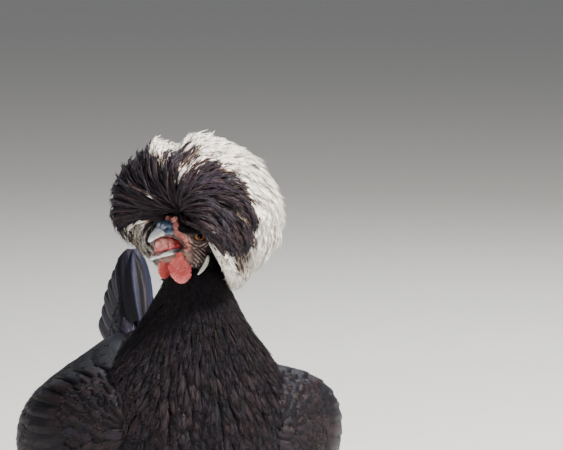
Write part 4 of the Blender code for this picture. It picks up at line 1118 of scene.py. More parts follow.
# White grows behind this edge: distances ahead of the crest's centre by height over it.
MARK_EDGE = (
    (-60, 0), (-25, 0), (-7, -3), (4, -1), (13, 2), (22, 8), (30, 13), (36, 15), (40, 27), (45, 38), (52, 31),
    (62, 28),
)
# Places of their own: where, how large, and how white.
MARK_SPOTS = (
    ((-10, -41, 49), 14.5, 1), ((8, -47, 37), 5.5, 1), ((24, -36, 51), 6, 0), ((28, -28, 55), 4, 0),
    ((37, -37, 39), 4.5, 0), ((29, -46, 35), 5, 1), ((-6, -57, 12), 3, 0.95), ((66, -25, 17), 0.5, 0.95),
    ((62, -34, -11), 1.5, 0.85), ((70, -14, 3), 1, 0.6), ((-60, -42, -15), 7, 1), ((-58, -36, -25), 6, 0.95),
    ((-46, -30, -28), 8, 0.93), ((-48, -24, -31), 6, 0.9), ((48, -24, -26), 10, 0), ((59, -2, -38), 5, 0),
    ((52, 13, -44), 4.5, 0), ((50, 4, -55), 3.5, 0.3),
)
# How high the white fringe reaches under the left and the right side of the face.
FRINGE_Z = (-29.0, -38.0)
MARK_SOFTNESS = 1.1


def mark_edge(rel, wobble):
    """White behind the main edge between black and white, at places about the crest's centre."""
    heights, edges = zip(*MARK_EDGE)
    behind = np.interp(rel[:, 2], heights, edges) + rel[:, 1]
    return ramp(behind + wobble, -MARK_SOFTNESS, MARK_SOFTNESS)


def crest_white(head_points, jitter):
    """How white the crest is at places in the head frame, 0 to 1; jitter shifts its edge."""
    rel = head_points - CREST_AT
    wobble = 4.0 * noise_at(rel, 14.0, 21.0) + jitter
    white = mark_edge(rel, wobble)
    below = np.where(rel[:, 0] > 0.0, *FRINGE_Z) - rel[:, 2]
    fringe = ramp(below + wobble, -MARK_SOFTNESS, MARK_SOFTNESS) * ramp(np.abs(rel[:, 0]), 14.0, 30.0)
    white = np.maximum(white, fringe)
    for place, size, value in MARK_SPOTS:
        far = np.linalg.norm(rel - np.array(place), axis=1) + 0.25 * wobble
        white = np.where(far < size, value, white)
    return white


def sphere_starts(count, seed=0.5):
    """Evenly spread directions."""
    golden = math.pi * (3.0 - math.sqrt(5.0))
    index = np.arange(count) + seed
    height = 1.0 - 2.0 * index / count
    flat = np.sqrt(1.0 - height * height)
    return stacked(flat * np.cos(golden * index), flat * np.sin(golden * index), height)


CREST_SHARES = (1, 0.9, 0.8, 0.7, 0.6, 0.5, 0.4, 0.32, 0.25)
CREST_STEPS = 7
CREST_CLEARANCE = 0.3
CREST_DENSE_ANGLE = 1.5
CREST_DENSEST_ANGLE = 1.0
MARK_TIP_SHARE = 0.75
MARK_TIP_PULL = 0.55
MARK_JITTER = 2.0
# Layers of the crest: starts all round, seed, length, width, lifts, range of angles from the parting, barbs.
CREST_LAYERS = (
    (560, 0.3, 56, 17, (-0.16, -0.1), (0.28, 3.2), (2, 0.3, 0.6, 0.1, 0.4)),
    (1300, 0.5, 57, 10.5, (-0.09, -0.02), (0.08, 3.2), (6, 0.38, 0.42, 0.25, 1)),
    (1850, 0.7, 50, 6.6, (-0.045, 0.015), (0.05, 3.2), (5, 0.46, 0.34, 0.4, 1.3)),
    (1300, 0.4, 30, 4.6, (-0.26, -0.06), (0.02, 0.8), (4, 0.46, 0.3, 0.4, 1.2)),
    (90, 0.9, 46, 5, (0.01, 0.05), (0.25, 3.2), (7, 0.5, 0.28, 0.5, 2)),
)


def fitted_crest(starts, lengths, widths, lifts, twist):
    """Crest feathers, each as long as keeps it clear of the face; returns paths, normals and which fit."""
    paths, normals = crest_paths(starts, lengths, lifts, CREST_STEPS, twist)
    fits = np.zeros(len(starts), bool)
    for share in CREST_SHARES:
        tried, facing = crest_paths(starts, lengths * share, lifts, CREST_STEPS, twist)
        side, _ = path_frames(tried, facing)
        reach = side * (widths * CREST_CLEARANCE)[:, None, None]
        clear = ~(in_face(tried + reach) | in_face(tried - reach))[:, 1:].any(axis=1)
        clear &= tried[:, -1, 2] > CREST_LOWEST
        new = clear & ~fits
        paths[new], normals[new] = tried[new], facing[new]
        fits |= clear
    return paths, normals, fits


def direction_map(directions):
    """An unwrap of the crest's core: longitude and latitude."""
    u = 0.5 + np.arctan2(directions[:, 0], -directions[:, 1]) / (2 * math.pi)
    v = 0.5 + np.arcsin(np.clip(directions[:, 2], -1.0, 1.0)) / math.pi
    return stacked(u, v)


def crest_batch(rng, count, seed, length, width, lifts, angles):
    """Crest feathers of one layer: paths, normals, half widths, tones, roots, tilts and marks."""
    starts = sphere_starts(int(2.5 * count), seed)
    starts = unit(starts + rng.normal(0.0, 0.018, starts.shape))
    angle = crest_angle(starts)
    kept = (starts[:, 2] > -0.52) & (angle > angles[0]) & (angle < angles[1])
    kept &= (angle < CREST_DENSE_ANGLE) | (np.arange(len(starts)) % 2 == 0)
    kept &= (angle < CREST_DENSEST_ANGLE) | (np.arange(len(starts)) % 4 > 0)
    starts = starts[kept]
    number = len(starts)
    angle = crest_angle(starts)
    lengths = length * rng.uniform(0.78, 1.18, number) * np.interp(angle, (0.2, 1.1), (0.72, 1.0))
    lengths = lengths + 16.0 * np.maximum(0.0, -starts[:, 2])
    widths = width * np.interp(angle, (0.15, 0.6, 1.4), (0.36, 0.62, 1.0)) * rng.uniform(0.85, 1.15, number)
    lift = rng.uniform(*lifts, number)
    twist = rng.normal(0.0, CREST_TWIST, number) + CREST_SWIRL * noise_at(starts * 50.0, 15.0, 41.0)
    tilt = rng.normal(0.0, 0.18, number)
    paths, normals, fits = fitted_crest(starts, lengths, widths, lift, twist)
    paths, normals, starts, widths, tilt = (v[fits] for v in (paths, normals, starts, widths, tilt))
    number = len(starts)
    shares = np.linspace(0.0, 1.0, CREST_STEPS + 1)
    halves = widths[:, None] / 2 * vane_outline(shares, 0.35, 0.62, 0.25)
    jitter = np.repeat(rng.normal(0.0, MARK_JITTER, (number, 1)), CREST_STEPS + 1, axis=1)
    tips = along_path(paths, np.full((number, 1), MARK_TIP_SHARE))
    places = lerp(paths, tips, MARK_TIP_PULL)
    marks = crest_white(places.reshape(-1, 3), jitter.ravel()).reshape(number, -1)
    return paths, normals, halves, plain_tones(rng, number), direction_map(starts), tilt, marks


def crest_piece_names(paths, marks):
    """Which piece each crest feather belongs to, by its tip's marking and its place round the head."""
    tip = int(MARK_TIP_SHARE * CREST_STEPS)
    white = marks[:, tip] > 0.5
    place = paths[:, tip] - CREST_AT
    around = np.degrees(np.arctan2(place[:, 0], -place[:, 1]))
    side = np.where(around > 0.0, "left", "right")
    third = np.select([around > 110.0, around > 0.0, around > -110.0], ["back", "left", "right"], "rear")
    return np.where(white, np.char.add("crest_white_", third), np.char.add("crest_black_", side))


def make_crest():
    rng = np.random.default_rng(SEED)
    coats = {}
    for *layer, barbs in CREST_LAYERS:
        feathers = crest_batch(rng, *layer)
        names = crest_piece_names(feathers[0], feathers[6])
        for name in sorted(set(names)):
            paths, normals, *rest = (rows[names == name] for rows in feathers)
            placed = (from_head(paths), normals @ HEAD_ROTATION.T, *rest)
            add_feathers(coats.setdefault(name, Plumage()), rng, placed, barbs)
    for name, plumage in coats.items():
        slot = "white_feather" if "white" in name else "black_feather"
        dress(plumage.make(str(name)), "crest_feather", slot, "crest")


CORE_DIMPLE = 7.0
CORE_DIMPLE_WIDTH = 0.8
DOWN_VOXEL = 1.6


def make_crest_down():
    """The soft core that crest feathers rise from, with their markings."""
    core = head_object("crest_down", [egg(CREST_CORE, rings=40, count=64), egg(NAPE_CORE, rings=32, count=48)])
    remeshed(core, DOWN_VOXEL, smoothing=2)
    points = read_points(core)
    lumps = 1.4 * noise_at(points, 6.0, 31.0) + 0.7 * noise_at(points, 2.6, 32.0)
    rel = unit(to_head(points) - CREST_AT)
    drawn_in = 2.0 + CORE_DIMPLE * np.exp(-((crest_angle(rel) / CORE_DIMPLE_WIDTH) ** 2))
    push_out(core, points, lumps - drawn_in)
    set_values(core, mark=mark_edge(rel * (crest_reach(rel) * 0.9)[:, None], 0.0))
    set_map(core, "OFBake", direction_map(rel))
    dress(core, "down", "white_feather", "crest")


# --- Feathers of the trunk, thighs and head ---

# Feathers by ring along the trunk: ring, length and width on the back, and length and width on the front.
FEATHER_SIZES = (
    (0, 34, 15, 34, 14), (2, 46, 16, 36, 13.5), (5, 46, 15, 35, 13), (7, 42, 12.5, 34, 12),
    (9, 40, 10, 34, 10), (11, 40, 7, 34, 7.6), (12, 34, 5.6, 30, 6), (13, 25, 4.6, 22, 4.6),
    (14, 15, 3.6, 13, 3.6), (15, 9, 3, 9, 3),
)
TRUNK_FEATHERS = 2800
SHINGLE = 0.13
TRUNK_STEPS = 6


def feather_size(t, a):
    """Length and width of trunk feathers at places on it."""
    ring = t * (len(TRUNK_RINGS) - 1)
    rings, *columns = zip(*FEATHER_SIZES)
    lengths, widths, front_lengths, front_widths = (np.interp(ring, rings, column) for column in columns)
    back = ramp(np.sin(2 * math.pi * a), -0.4, 0.5)
    return lerp(front_lengths, lengths, back), lerp(front_widths, widths, back)


def under_wing(t, a):
    """1 where the wings hide the trunk's sides."""
    ring = t * (len(TRUNK_RINGS) - 1)
    beside = ramp(np.abs(np.cos(2 * math.pi * a)), 0.45, 0.65)
    return beside * ramp(ring, 1.5, 2.5) * ramp(-ring, -7.5, -6.5)


def plain_tones(rng, number):
    return rng.uniform(0.0, 1.0, (number, 2))


def make_trunk_coat():
    rng = np.random.default_rng(SEED + 1)
    rings, count = TRUNK.area.shape
    t, a = np.meshgrid(np.linspace(0, 1, rings), np.arange(count) / count, indexing="ij")
    lengths, widths = feather_size(t, a)
    density = (1.0 - 0.7 * under_wing(t, a)) / (lengths * widths)
    density[t > trunk_place(14.2)] = 0.0
    t, a = TRUNK.spread(TRUNK_FEATHERS, density)
    number = len(t)
    lengths, widths = feather_size(t, a)
    lengths = lengths * rng.uniform(0.85, 1.15, number)
    widths = widths * rng.uniform(0.88, 1.15, number)
    drift = -np.cos(2 * math.pi * a) * 0.0006 * (t < trunk_place(9.0)) + rng.normal(0.0, 0.00035, number)
    paths, normals = TRUNK.lay(t, a, lengths, TRUNK_STEPS, coat_depth(t) + 0.5, 0.4, drift, hump=0.35)
    shares = np.linspace(0.0, 1.0, TRUNK_STEPS + 1)
    narrow = ramp(t, trunk_place(9.5), trunk_place(11.5))[:, None]
    broad, slim = vane_outline(shares, 0.4, 0.62, 0.3), vane_outline(shares, 0.5, 0.45, 0.12)
    outline = lerp(broad[None], slim[None], narrow)
    tones = plain_tones(rng, number)
    tilt = rng.normal(0.0, SHINGLE, number)
    feathers = (paths, normals, widths[:, None] / 2 * outline, tones, stacked(t, a % 1.0), tilt)
    front = np.sin(2 * math.pi * a) < 0.0
    left = np.cos(2 * math.pi * a) > 0.0
    hackle = t > trunk_place(10.4)
    for name, chosen, barbs in (
        ("hackle", hackle, (4, 0.42, 0.30, 0.35, 0.8)),
        ("breast_coat_left", ~hackle & front & left, (5, 0.40, 0.34, 0.25, 0.9)),
        ("breast_coat_right", ~hackle & front & ~left, (5, 0.40, 0.34, 0.25, 0.9)),
        ("back_coat", ~hackle & ~front, (6, 0.38, 0.38, 0.20, 0.8)),
    ):
        make_coat(name, rng, [rows[chosen] for rows in feathers], barbs, "neck", "torso")


THIGH_FEATHERS = 330


def make_thigh_coat(sign, side):
    rng = np.random.default_rng(SEED + 20 + sign)
    thigh = Sleeve(limb_grid(thigh_places(sign)[::-1], THIGH_RADII[::-1], per_span=12, count=48))
    t, a = thigh.spread(THIGH_FEATHERS, np.ones(thigh.area.shape))
    number = len(t)
    lengths = np.interp(t, (0.0, 0.3, 1.0), (17.0, 26.0, 32.0)) * rng.uniform(0.85, 1.15, number)
    widths = np.interp(t, (0.0, 0.3, 1.0), (6.0, 11.0, 15.0)) * rng.uniform(0.85, 1.15, number)
    paths, normals = thigh.lay(t, a, lengths, 5, np.full(number, 4.0), 0.6, 0.0, hump=1.0)
    halves = widths[:, None] / 2 * vane_outline(np.linspace(0.0, 1.0, 6), 0.4, 0.6, 0.3)
    tones = plain_tones(rng, number)
    feathers = (paths, normals, halves, tones, stacked(t, a % 1.0), rng.normal(0.0, SHINGLE, number))
    make_coat(f"thigh_coat_{side}", rng, feathers, (6, 0.34, 0.5, 0.2, 1.2), f"thigh_{side}")


def scatter(skin, rng, count, weight):
    """Random places on a mesh, more where weight is higher: body-frame points and normals."""
    points, normals, triangles = read_points(skin), read_normals(skin), read_triangles(skin)
    corners = points[triangles]
    area = np.linalg.norm(np.cross(corners[:, 1] - corners[:, 0], corners[:, 2] - corners[:, 0]), axis=1)
    share = area * weight(to_head(corners.mean(axis=1)))
    picked = rng.choice(len(triangles), count, p=share / share.sum())
    u, v = rng.uniform(0, 1, (2, count, 1))
    over = (u + v) > 1.0
    u, v = np.where(over, 1.0 - u, u), np.where(over, 1.0 - v, v)
    first, second, third = triangles[picked].T
    place, facing = (rows[first] * (1 - u - v) + rows[second] * u + rows[third] * v for rows in (points, normals))
    return place, unit(facing)


def head_map(points):
    """An unwrap of the head: how far round and how far back."""
    x, y, z = to_head(points).T
    return np.clip(stacked(0.5 + np.arctan2(x, z + 60.0) / (2 * math.pi), (y + 60.0) / 140.0), 0.01, 0.99)


def head_lie(head_points):
    """Which way the small feathers of the head lie: back, outwards and down, and straight down the throat."""
    x, y, z = head_points.T
    throat = ramp(-y, 4.0, 10.0) * ramp(-z, 15.0, 20.0)
    fall = lerp(-0.35, -1.0, throat) - 0.6 * ramp(-z, 8.0, 24.0)
    return unit(stacked(0.012 * x, lerp(0.85, 0.25, throat), fall))


HEAD_FEATHERS = 820


def make_head_coat(skin):
    """Small feathers behind the bare face, under the crest and down to the hackle."""
    rng = np.random.default_rng(SEED + 30)

    def weight(head):
        x, y, z = head.T
        near = (np.linalg.norm(head - np.array((0.0, 6.0, -12.0)), axis=1) < 42.0) & (z < 14.0)
        inside = (y < -8.0) & (np.abs(x) < 9.5) & (z > -14.0)
        return near * ~inside * (bare_face(head) < 0.4)

    place, facing = scatter(skin, rng, HEAD_FEATHERS, weight)
    head = to_head(place)
    lie = head_lie(head) @ HEAD_ROTATION.T
    lie = unit(lie + rng.normal(0.0, 0.10, lie.shape))
    lie = unit(lie - facing * dots(lie, facing))
    size = np.interp(head[:, 1], (-10.0, 5.0, 12.0, 22.0), (4.5, 6.0, 9.0, 14.0))
    size = np.maximum(size, np.interp(-head[:, 2], (15.0, 24.0), (5.0, 14.0))) * rng.uniform(0.8, 1.2, len(head))
    shares = np.linspace(0.0, 1.0, 5)
    lift = np.sin(shares * math.pi * 0.6)[None, :, None] * (0.14 * size)[:, None, None]
    paths = place[:, None] + lie[:, None] * (size[:, None] * shares)[..., None] + facing[:, None] * (lift - 0.3)
    normals = np.repeat(facing[:, None], 5, axis=1)
    halves = (0.8 + 0.13 * size)[:, None] * vane_outline(shares, 0.5, 0.5, 0.15)
    tones = plain_tones(rng, len(head))
    feathers = (paths, normals, halves, tones, head_map(place), rng.normal(0.0, 0.2, len(head)))
    make_coat("head_coat", rng, feathers, (3, 0.45, 0.16, 0.4, 0.5), "head", "neck")


BROW_FEATHERS = 480
PARTING_AT = np.array((0.0, -22.0, 12.0))
BROW_LENGTHS = ((-17, 12), (-4, 15), (8, 21), (22, 26))
BROW_STAND = 0.26
BROW_SAG = 0.26
BROW_OVER_EYE = 2.2


def make_brow(skin):
    """Feathers from the comb over the eye to the ear, which run into the crest's lower edge."""
    rng = np.random.default_rng(SEED + 35)

    def weight(head):
        x, y, z = head.T
        low = brow_line(y)
        ahead = (np.abs(x) > 2.5) | (y > -15.0)
        band = (z > low + 0.3) & (z < low + 11.0) & (y > -17.5) & (y < 26.0) & ahead
        eye = np.hypot(y - EYE_AT[1], z - EYE_AT[2] + LID_OPENING_DROP) < 7.4
        return band * (1.0 - eye * (z < low + 3.0)) * (1.0 + 2.0 * ramp(low + 4.0 - z, 0.0, 1.0))

    place, facing = scatter(skin, rng, BROW_FEATHERS, weight)
    head = to_head(place)
    lie = unit(head - PARTING_AT) @ HEAD_ROTATION.T
    lie = unit(lie + rng.normal(0.0, 0.10, lie.shape))
    length = np.interp(head[:, 1], *zip(*BROW_LENGTHS)) * rng.uniform(0.75, 1.2, len(head))
    shares = np.linspace(0.0, 1.0, 7)
    rise = np.sin(shares * math.pi * 0.62) * BROW_STAND
    along = lie[:, None] * (length[:, None] * shares)[..., None]
    outward = facing[:, None] * (length[:, None] * rise - 0.4)[..., None]
    down = np.array((0.0, 0.0, 1.0)) * (length[:, None] * (-BROW_SAG * shares**2))[..., None]
    paths = to_head(place[:, None] + along + outward + down)
    lowest = brow_line(paths[..., 1]) + rng.normal(0.3, 0.5, (len(head), 1))
    lowest += BROW_OVER_EYE * np.exp(-(((paths[..., 1] + 4.0) / 9.0) ** 2))
    paths[..., 2] = np.maximum(paths[..., 2], lowest)
    normals = np.repeat(facing[:, None], 7, axis=1)
    halves = (0.9 + 0.10 * length)[:, None] * vane_outline(shares, 0.4, 0.55, 0.15)
    tones = plain_tones(rng, len(head))
    feathers = (from_head(paths), normals, halves, tones, head_map(place), rng.normal(0.0, 0.2, len(head)))
    make_coat("brow_feathers", rng, feathers, (5, 0.45, 0.20, 0.5, 0.7), "head")


BRISTLES = 760


def make_bristles(skin):
    """Fine bristles on the bare face, thickest round the eye, on the cheek and along the jaw."""
    rng = np.random.default_rng(SEED + 40)

    def weight(head):
        x, y, z = head.T
        shown = (bare_face(head) > 0.5) & (y > -19.0) & (np.abs(x) > 5.0)
        clear = np.linalg.norm(head - np.array((0.0, -16.5, 9.0)), axis=1) > 8.0
        return shown * clear * (0.2 + 2.4 * ramp(y, 0.0, 8.0) * ramp(-z, 6.0, 14.0) + 0.9 * ramp(-z, 12.0, 24.0))

    place, facing = scatter(skin, rng, BRISTLES, weight)
    head = to_head(place)
    lie = unit(head_lie(head) @ HEAD_ROTATION.T + rng.normal(0.0, 0.30, head.shape))
    lie = unit(lie - facing * dots(lie, facing))
    length = rng.uniform(1.6, 4.2, (len(head), 1))
    middle, end = place + lie * length * 0.5 + facing * 0.45, place + lie * length + facing * 0.5
    paths = np.stack([place - facing * 0.2, middle, end], axis=1)
    halves = rng.uniform(0.10, 0.19, (len(head), 1)) * np.array((1.0, 0.8, 0.0))
    plumage = Plumage()
    batch = strips(paths, np.repeat(facing[:, None], 3, axis=1), halves, BLADE_SECTION)
    plumage.add(batch, plain_tones(rng, len(head)), head_map(place))
    dress(plumage.make("face_bristles"), "black_feather", "black_feather", "head")


# --- Wings and tail ---

# Wing rows, lowest feather first: count, root and tip as (along, down) for the lowest and the highest
# feather, width, how far the row stands off the wing, barbs on each side.
WING_ROWS = (
    (8, (0.4, 0.95), (0.46, 0.66), (1.03, 0.82), (1, 0.46), 19, -1.6, 0),
    (14, (0.4, 0.93), (0.5, 0.05), (0.86, 0.92), (0.955, 0.06), 26, 1, 0),
    (13, (0.26, 0.94), (0.36, 0.05), (0.58, 0.95), (0.69, 0.06), 25, 3, 8),
    (12, (0.18, 0.93), (0.28, 0.05), (0.46, 0.94), (0.56, 0.06), 25, 4.4, 8),
    (11, (0.11, 0.92), (0.19, 0.05), (0.35, 0.93), (0.44, 0.06), 24, 5.4, 8),
)
WING_STEPS = 9
WING_SHINGLE = 0.10
LESSER_COVERTS = 260
LESSER_SIZE = (23.0, 15.0)
LESSER_REACH = 0.33


def wing_row(sign, rng, row):
    """One row's feathers, as add_feathers takes them."""
    count, low_root, high_root, low_tip, high_tip, width, stand = row
    share = np.linspace(0.0, 1.0, count)[:, None]
    root = lerp(np.array(low_root), np.array(high_root), share)
    tip = lerp(np.array(low_tip), np.array(high_tip), share)
    tip[:, 0] += rng.uniform(-0.012, 0.012, count)
    steps = tip_dense(WING_STEPS)
    along, down = np.moveaxis(root[:, None] + (tip - root)[:, None] * steps[:, None], -1, 0)
    normals = wing_normal(along, down, sign)
    height = lerp(-2.5, stand, ramp(steps, 0.0, 0.35)) if stand > 0 else np.full(WING_STEPS, stand)
    order = rng.uniform(-0.15, 0.15, count)[:, None]
    paths = wing_point(along, down, sign) + normals * (height + order)[..., None]
    halves = width / 2 * rng.uniform(0.94, 1.06, (count, 1)) * vane_outline(steps, 0.45, 0.5, 0.3)
    roots = np.clip(stacked(root[:, 0] * 0.9, root[:, 1]), 0.01, 0.99)
    return paths, normals, halves, plain_tones(rng, count), roots, np.full(count, -sign * WING_SHINGLE)


def add_quills(plumage, feathers):
    """Stiff feathers with a raised quill and no loose barbs."""
    paths, normals, halves, tones, roots, tilt = feathers
    plumage.add(strips(paths, normals, halves, QUILL_SECTION, tilt), tones, roots)


def make_wing(sign, side):
    rng = np.random.default_rng(SEED + 50 + sign)
    quills = Plumage()
    coverts = Plumage()
    for *row, barbs in WING_ROWS:
        feathers = wing_row(sign, rng, row)
        if barbs:
            add_feathers(coverts, rng, feathers, (barbs, 0.26, 0.7, 0.05, 0.8))
        else:
            add_quills(quills, feathers)
    add_lesser_coverts(coverts, rng, sign)
    dress(quills.make(f"wing_quills_{side}"), "quill", "black_feather", f"wing_{side}")
    dress(coverts.make(f"wing_coverts_{side}"), "black_feather", "black_feather", f"wing_{side}")


def add_lesser_coverts(plumage, rng, sign):
    """Small rounded feathers over the front of the wing."""
    count = LESSER_COVERTS
    along, down = even_pairs(count)
    along, down = -0.015 + LESSER_REACH * along, 0.01 + 0.98 * down
    length, width = LESSER_SIZE
    reach = length / (WING_RINGS[-1][0] - WING_RINGS[0][0]) * rng.uniform(0.85, 1.15, count)
    steps = tip_dense(6)
    places_along = along[:, None] + reach[:, None] * steps
    places_down = down[:, None] + (rng.normal(0.0, 0.02, count) + 0.02)[:, None] * steps
    normals = wing_normal(places_along, places_down, sign)
    height = lerp(-3.0, 5.0, ramp(steps, 0.0, 0.8))[None] + rng.uniform(-0.3, 0.3, (count, 1))
    height = height * np.interp(along, (0.0, 0.12), (0.45, 1.0))[:, None]
    paths = wing_point(places_along, places_down, sign) + normals * height[..., None]
    halves = width / 2 * rng.uniform(0.85, 1.15, (count, 1)) * vane_outline(steps, 0.4, 0.6, 0.3)
    roots = np.clip(stacked(along * 0.9 + 0.05, down), 0.01, 0.99)
    tones = plain_tones(rng, count)
    feathers = (paths, normals, halves, tones, roots, rng.normal(-sign * 0.06, 0.08, count))
    add_feathers(plumage, rng, feathers, (6, 0.30, 0.5, 0.1, 0.9))


TAIL_PER_SIDE = 8
TAIL_LENGTHS = (100.0, 104.0)
TAIL_WIDTH = 27.0
TAIL_DROOP = 0.20
TAIL_ANGLES = (76.0, 24.0)
TAIL_SPREADS = (1.0, 6.0)
TAIL_SKEW = 1.5
# The top pair faces ahead, the rest outwards.
TAIL_FACING_TOP = (0.45, -0.85, 0.25)
TAIL_FACING = (1.0, -0.10, 0.38)
TAIL_TILT = 0.06
TAIL_STEPS = 9
# Coverts of the tail: how many on each side, length, width, how far out of the fan, and their fall.
TAIL_COVERTS = ((7, 66, 22, 4.5, 0.12), (7, 48, 19, 8, 0.2), (6, 34, 17, 10.5, 0.25))


def tail_paths(sign, share, lengths, inset, steps):
    """Tail feathers from the tall middle pair, at share 0, to the low outer one, at share 1."""
    lift = np.radians(lerp(*TAIL_ANGLES, share))
    turn = np.radians(sign * lerp(*TAIL_SPREADS, share) - TAIL_SKEW)[:, None]
    offset = lerp(np.array(TAIL_ROOT_TOP), np.array(TAIL_ROOT_LOW), share[:, None])
    root = np.array(TAIL_ROOT[0]) + stacked(sign * (offset[:, 0] + inset), offset[:, 1], offset[:, 2])
    along = tip_dense(steps)
    bend = lift[:, None] - TAIL_DROOP * along
    ahead = stacked(np.sin(turn), np.cos(bend) * np.cos(turn), np.sin(bend))
    paths = root[:, None] + ahead * (lengths[:, None] * along)[..., None]
    turned = lerp(np.array(TAIL_FACING_TOP), np.array(TAIL_FACING), ramp(share, 0.0, 0.42)[:, None])
    return paths, np.repeat(unit(turned * np.array((sign, 1.0, 1.0)))[:, None], steps, axis=1)


def make_tail():
    rng = np.random.default_rng(SEED + 60)
    quills = Plumage()
    coverts = Plumage()
    for sign, _ in SIDES:
        number = TAIL_PER_SIDE
        share = np.linspace(0.0, 1.0, number)
        lengths = lerp(*TAIL_LENGTHS, share) * rng.uniform(0.97, 1.0, number)
        paths, normals = tail_paths(sign, share, lengths, 0.0, TAIL_STEPS)
        paths += normals * (0.5 * (number - np.arange(number)))[:, None, None] * 0.6
        halves = TAIL_WIDTH / 2 * vane_outline(tip_dense(TAIL_STEPS), 0.3, 0.62, 0.4) * np.ones((number, 1))
        roots = stacked(0.5 + 0.2 * sign * (0.2 + share), 0.8 - 0.3 * share)
        tilt = np.full(number, sign * TAIL_TILT)
        add_quills(quills, (paths, normals, halves, plain_tones(rng, number), roots, tilt))
        for row, (count, length, width, inset, fall) in enumerate(TAIL_COVERTS):
            share = (np.arange(count) + 0.5) / count
            share = np.clip(share + rng.uniform(-0.04, 0.04, count), 0.0, 1.0)
            lengths = length * (1.0 - fall * share) * rng.uniform(0.92, 1.08, count)
            paths, normals = tail_paths(sign, share, lengths, inset, 7)
            halves = width / 2 * vane_outline(tip_dense(7), 0.4, 0.6, 0.3) * np.ones((count, 1))
            roots = stacked(0.5 + 0.2 * sign * (0.2 + share), 0.4 - 0.1 * row - 0.05 * share)
            tones = plain_tones(rng, count)
            feathers = (paths, normals, halves, tones, roots, rng.normal(sign * 0.05, 0.08, count))
            add_feathers(coverts, rng, feathers, (8, 0.28, 0.6, 0.1, 1.0))
    dress(quills.make("tail_quills"), "tail_quill", "black_feather", "tail")
    dress(coverts.make("tail_coverts"), "tail_covert", "black_feather", "tail")


# --- Eyes, bill, tongue, comb, wattles and ear lobes ---

IRIS_RADIUS = 4.75
PUPIL_RADIUS = 2.55


def make_eye(sign, side):
    """An eyeball seen from its iris: rings about its own axis, with the iris's fibres as stored numbers."""
    out, back, up = eye_axes(sign)
    polar = np.concatenate([np.linspace(0.01, 1.15, 48), np.linspace(1.2, math.pi - 0.02, 12)])
    around = ring_angles(96)
    flat = np.sin(polar)[:, None, None] * (np.cos(around)[:, None] * back + np.sin(around)[:, None] * up)
    grid = flat + np.cos(polar)[:, None, None] * out
    eye = head_object(f"eyeball_{side}", [sleeve(grid * EYE_RADIUS + mirrored(EYE_AT, sign))])
    turned = np.tile(around, len(polar))
    reach = np.repeat(np.where(polar > 1.5, 9.0, np.sin(polar) * EYE_RADIUS), len(around))
    spokes = stacked(np.cos(turned), np.sin(turned), reach * 0.05)
    set_values(eye, reach=reach, fibre=noise_at(spokes, 0.09, 3.0) + 0.6 * noise_at(spokes, 0.045, 4.0))
    dress(eye, "eye", "iris_bay", f"eye_{side}")


BILL_VOXEL = 0.34


def make_bill_upper():
    shells = [oval_sleeve(UPPER_BILL_RINGS, 6, 40)] + [egg(NOSTRIL_BULB, sign=sign) for sign, _ in SIDES]
    bill = remeshed(head_object("upper_bill", shells), BILL_VOXEL, smoothing=16)
    head_boolean(bill, [egg(NOSTRIL, (0.5, 0.0, 0.0), sign) for sign, _ in SIDES] + [egg(PALATE)], "DIFFERENCE")
    remeshed(bill, BILL_VOXEL, smoothing=1)
    points = read_points(bill)
    head = to_head(points)
    x, y, z = head.T
    lines = np.sin(2 * math.pi * (y + 0.7 * z + 0.5 * noise_at(head, 4.0, 2.0)) / 1.5)
    push_out(bill, points, 0.035 * lines * ramp(-y, 26.0, 34.0))
    set_values(
        bill,
        root=ramp(y + 0.25 * z, -32.0, -26.5),
        bulb=ramp(z - 0.30 * (y + 30.0), 4.6, 6.6),
        edge=ramp(-z - 0.10 * (y + 40.0), 0.6, 2.0),
        wet=ramp(6.2 - np.abs(x), 0.0, 0.8) * ramp(-0.4 - z, 0.0, 1.0) * ramp(y, -34.5, -33.0),
    )
    dress(bill, "bill", "bill_horn", "bill_upper")


def make_bill_lower():
    bill = head_object("lower_bill", [turned_down(oval_sleeve(LOWER_BILL_RINGS, 6, 40))])
    remeshed(bill, BILL_VOXEL, smoothing=2)
    head_boolean(bill, [turned_down(egg(TROUGH))], "DIFFERENCE")
    remeshed(bill, BILL_VOXEL, smoothing=1)
    x, y, z = turned_down((to_head(read_points(bill)), []), -GAPE_ANGLE)[0].T
    set_values(
        bill,
        root=ramp(y, -26.0, -14.0) * 0.6,
        bulb=np.zeros(len(y)),
        edge=ramp(z, -9.6, -8.2),
        wet=ramp(5.0 - np.abs(x), 0.0, 0.8) * ramp(z, -9.8, -9.0) * ramp(y, -34.5, -32.5),
    )
    dress(bill, "bill", "bill_horn", "bill_lower")


# The crease under the tongue, darkened as painted shade: its height in the head frame where y is 0, and its slope
# along y.
TONGUE_CREASE_Z = -4.9
TONGUE_CREASE_SLOPE = 0.23
TONGUE_VOXEL = 0.5


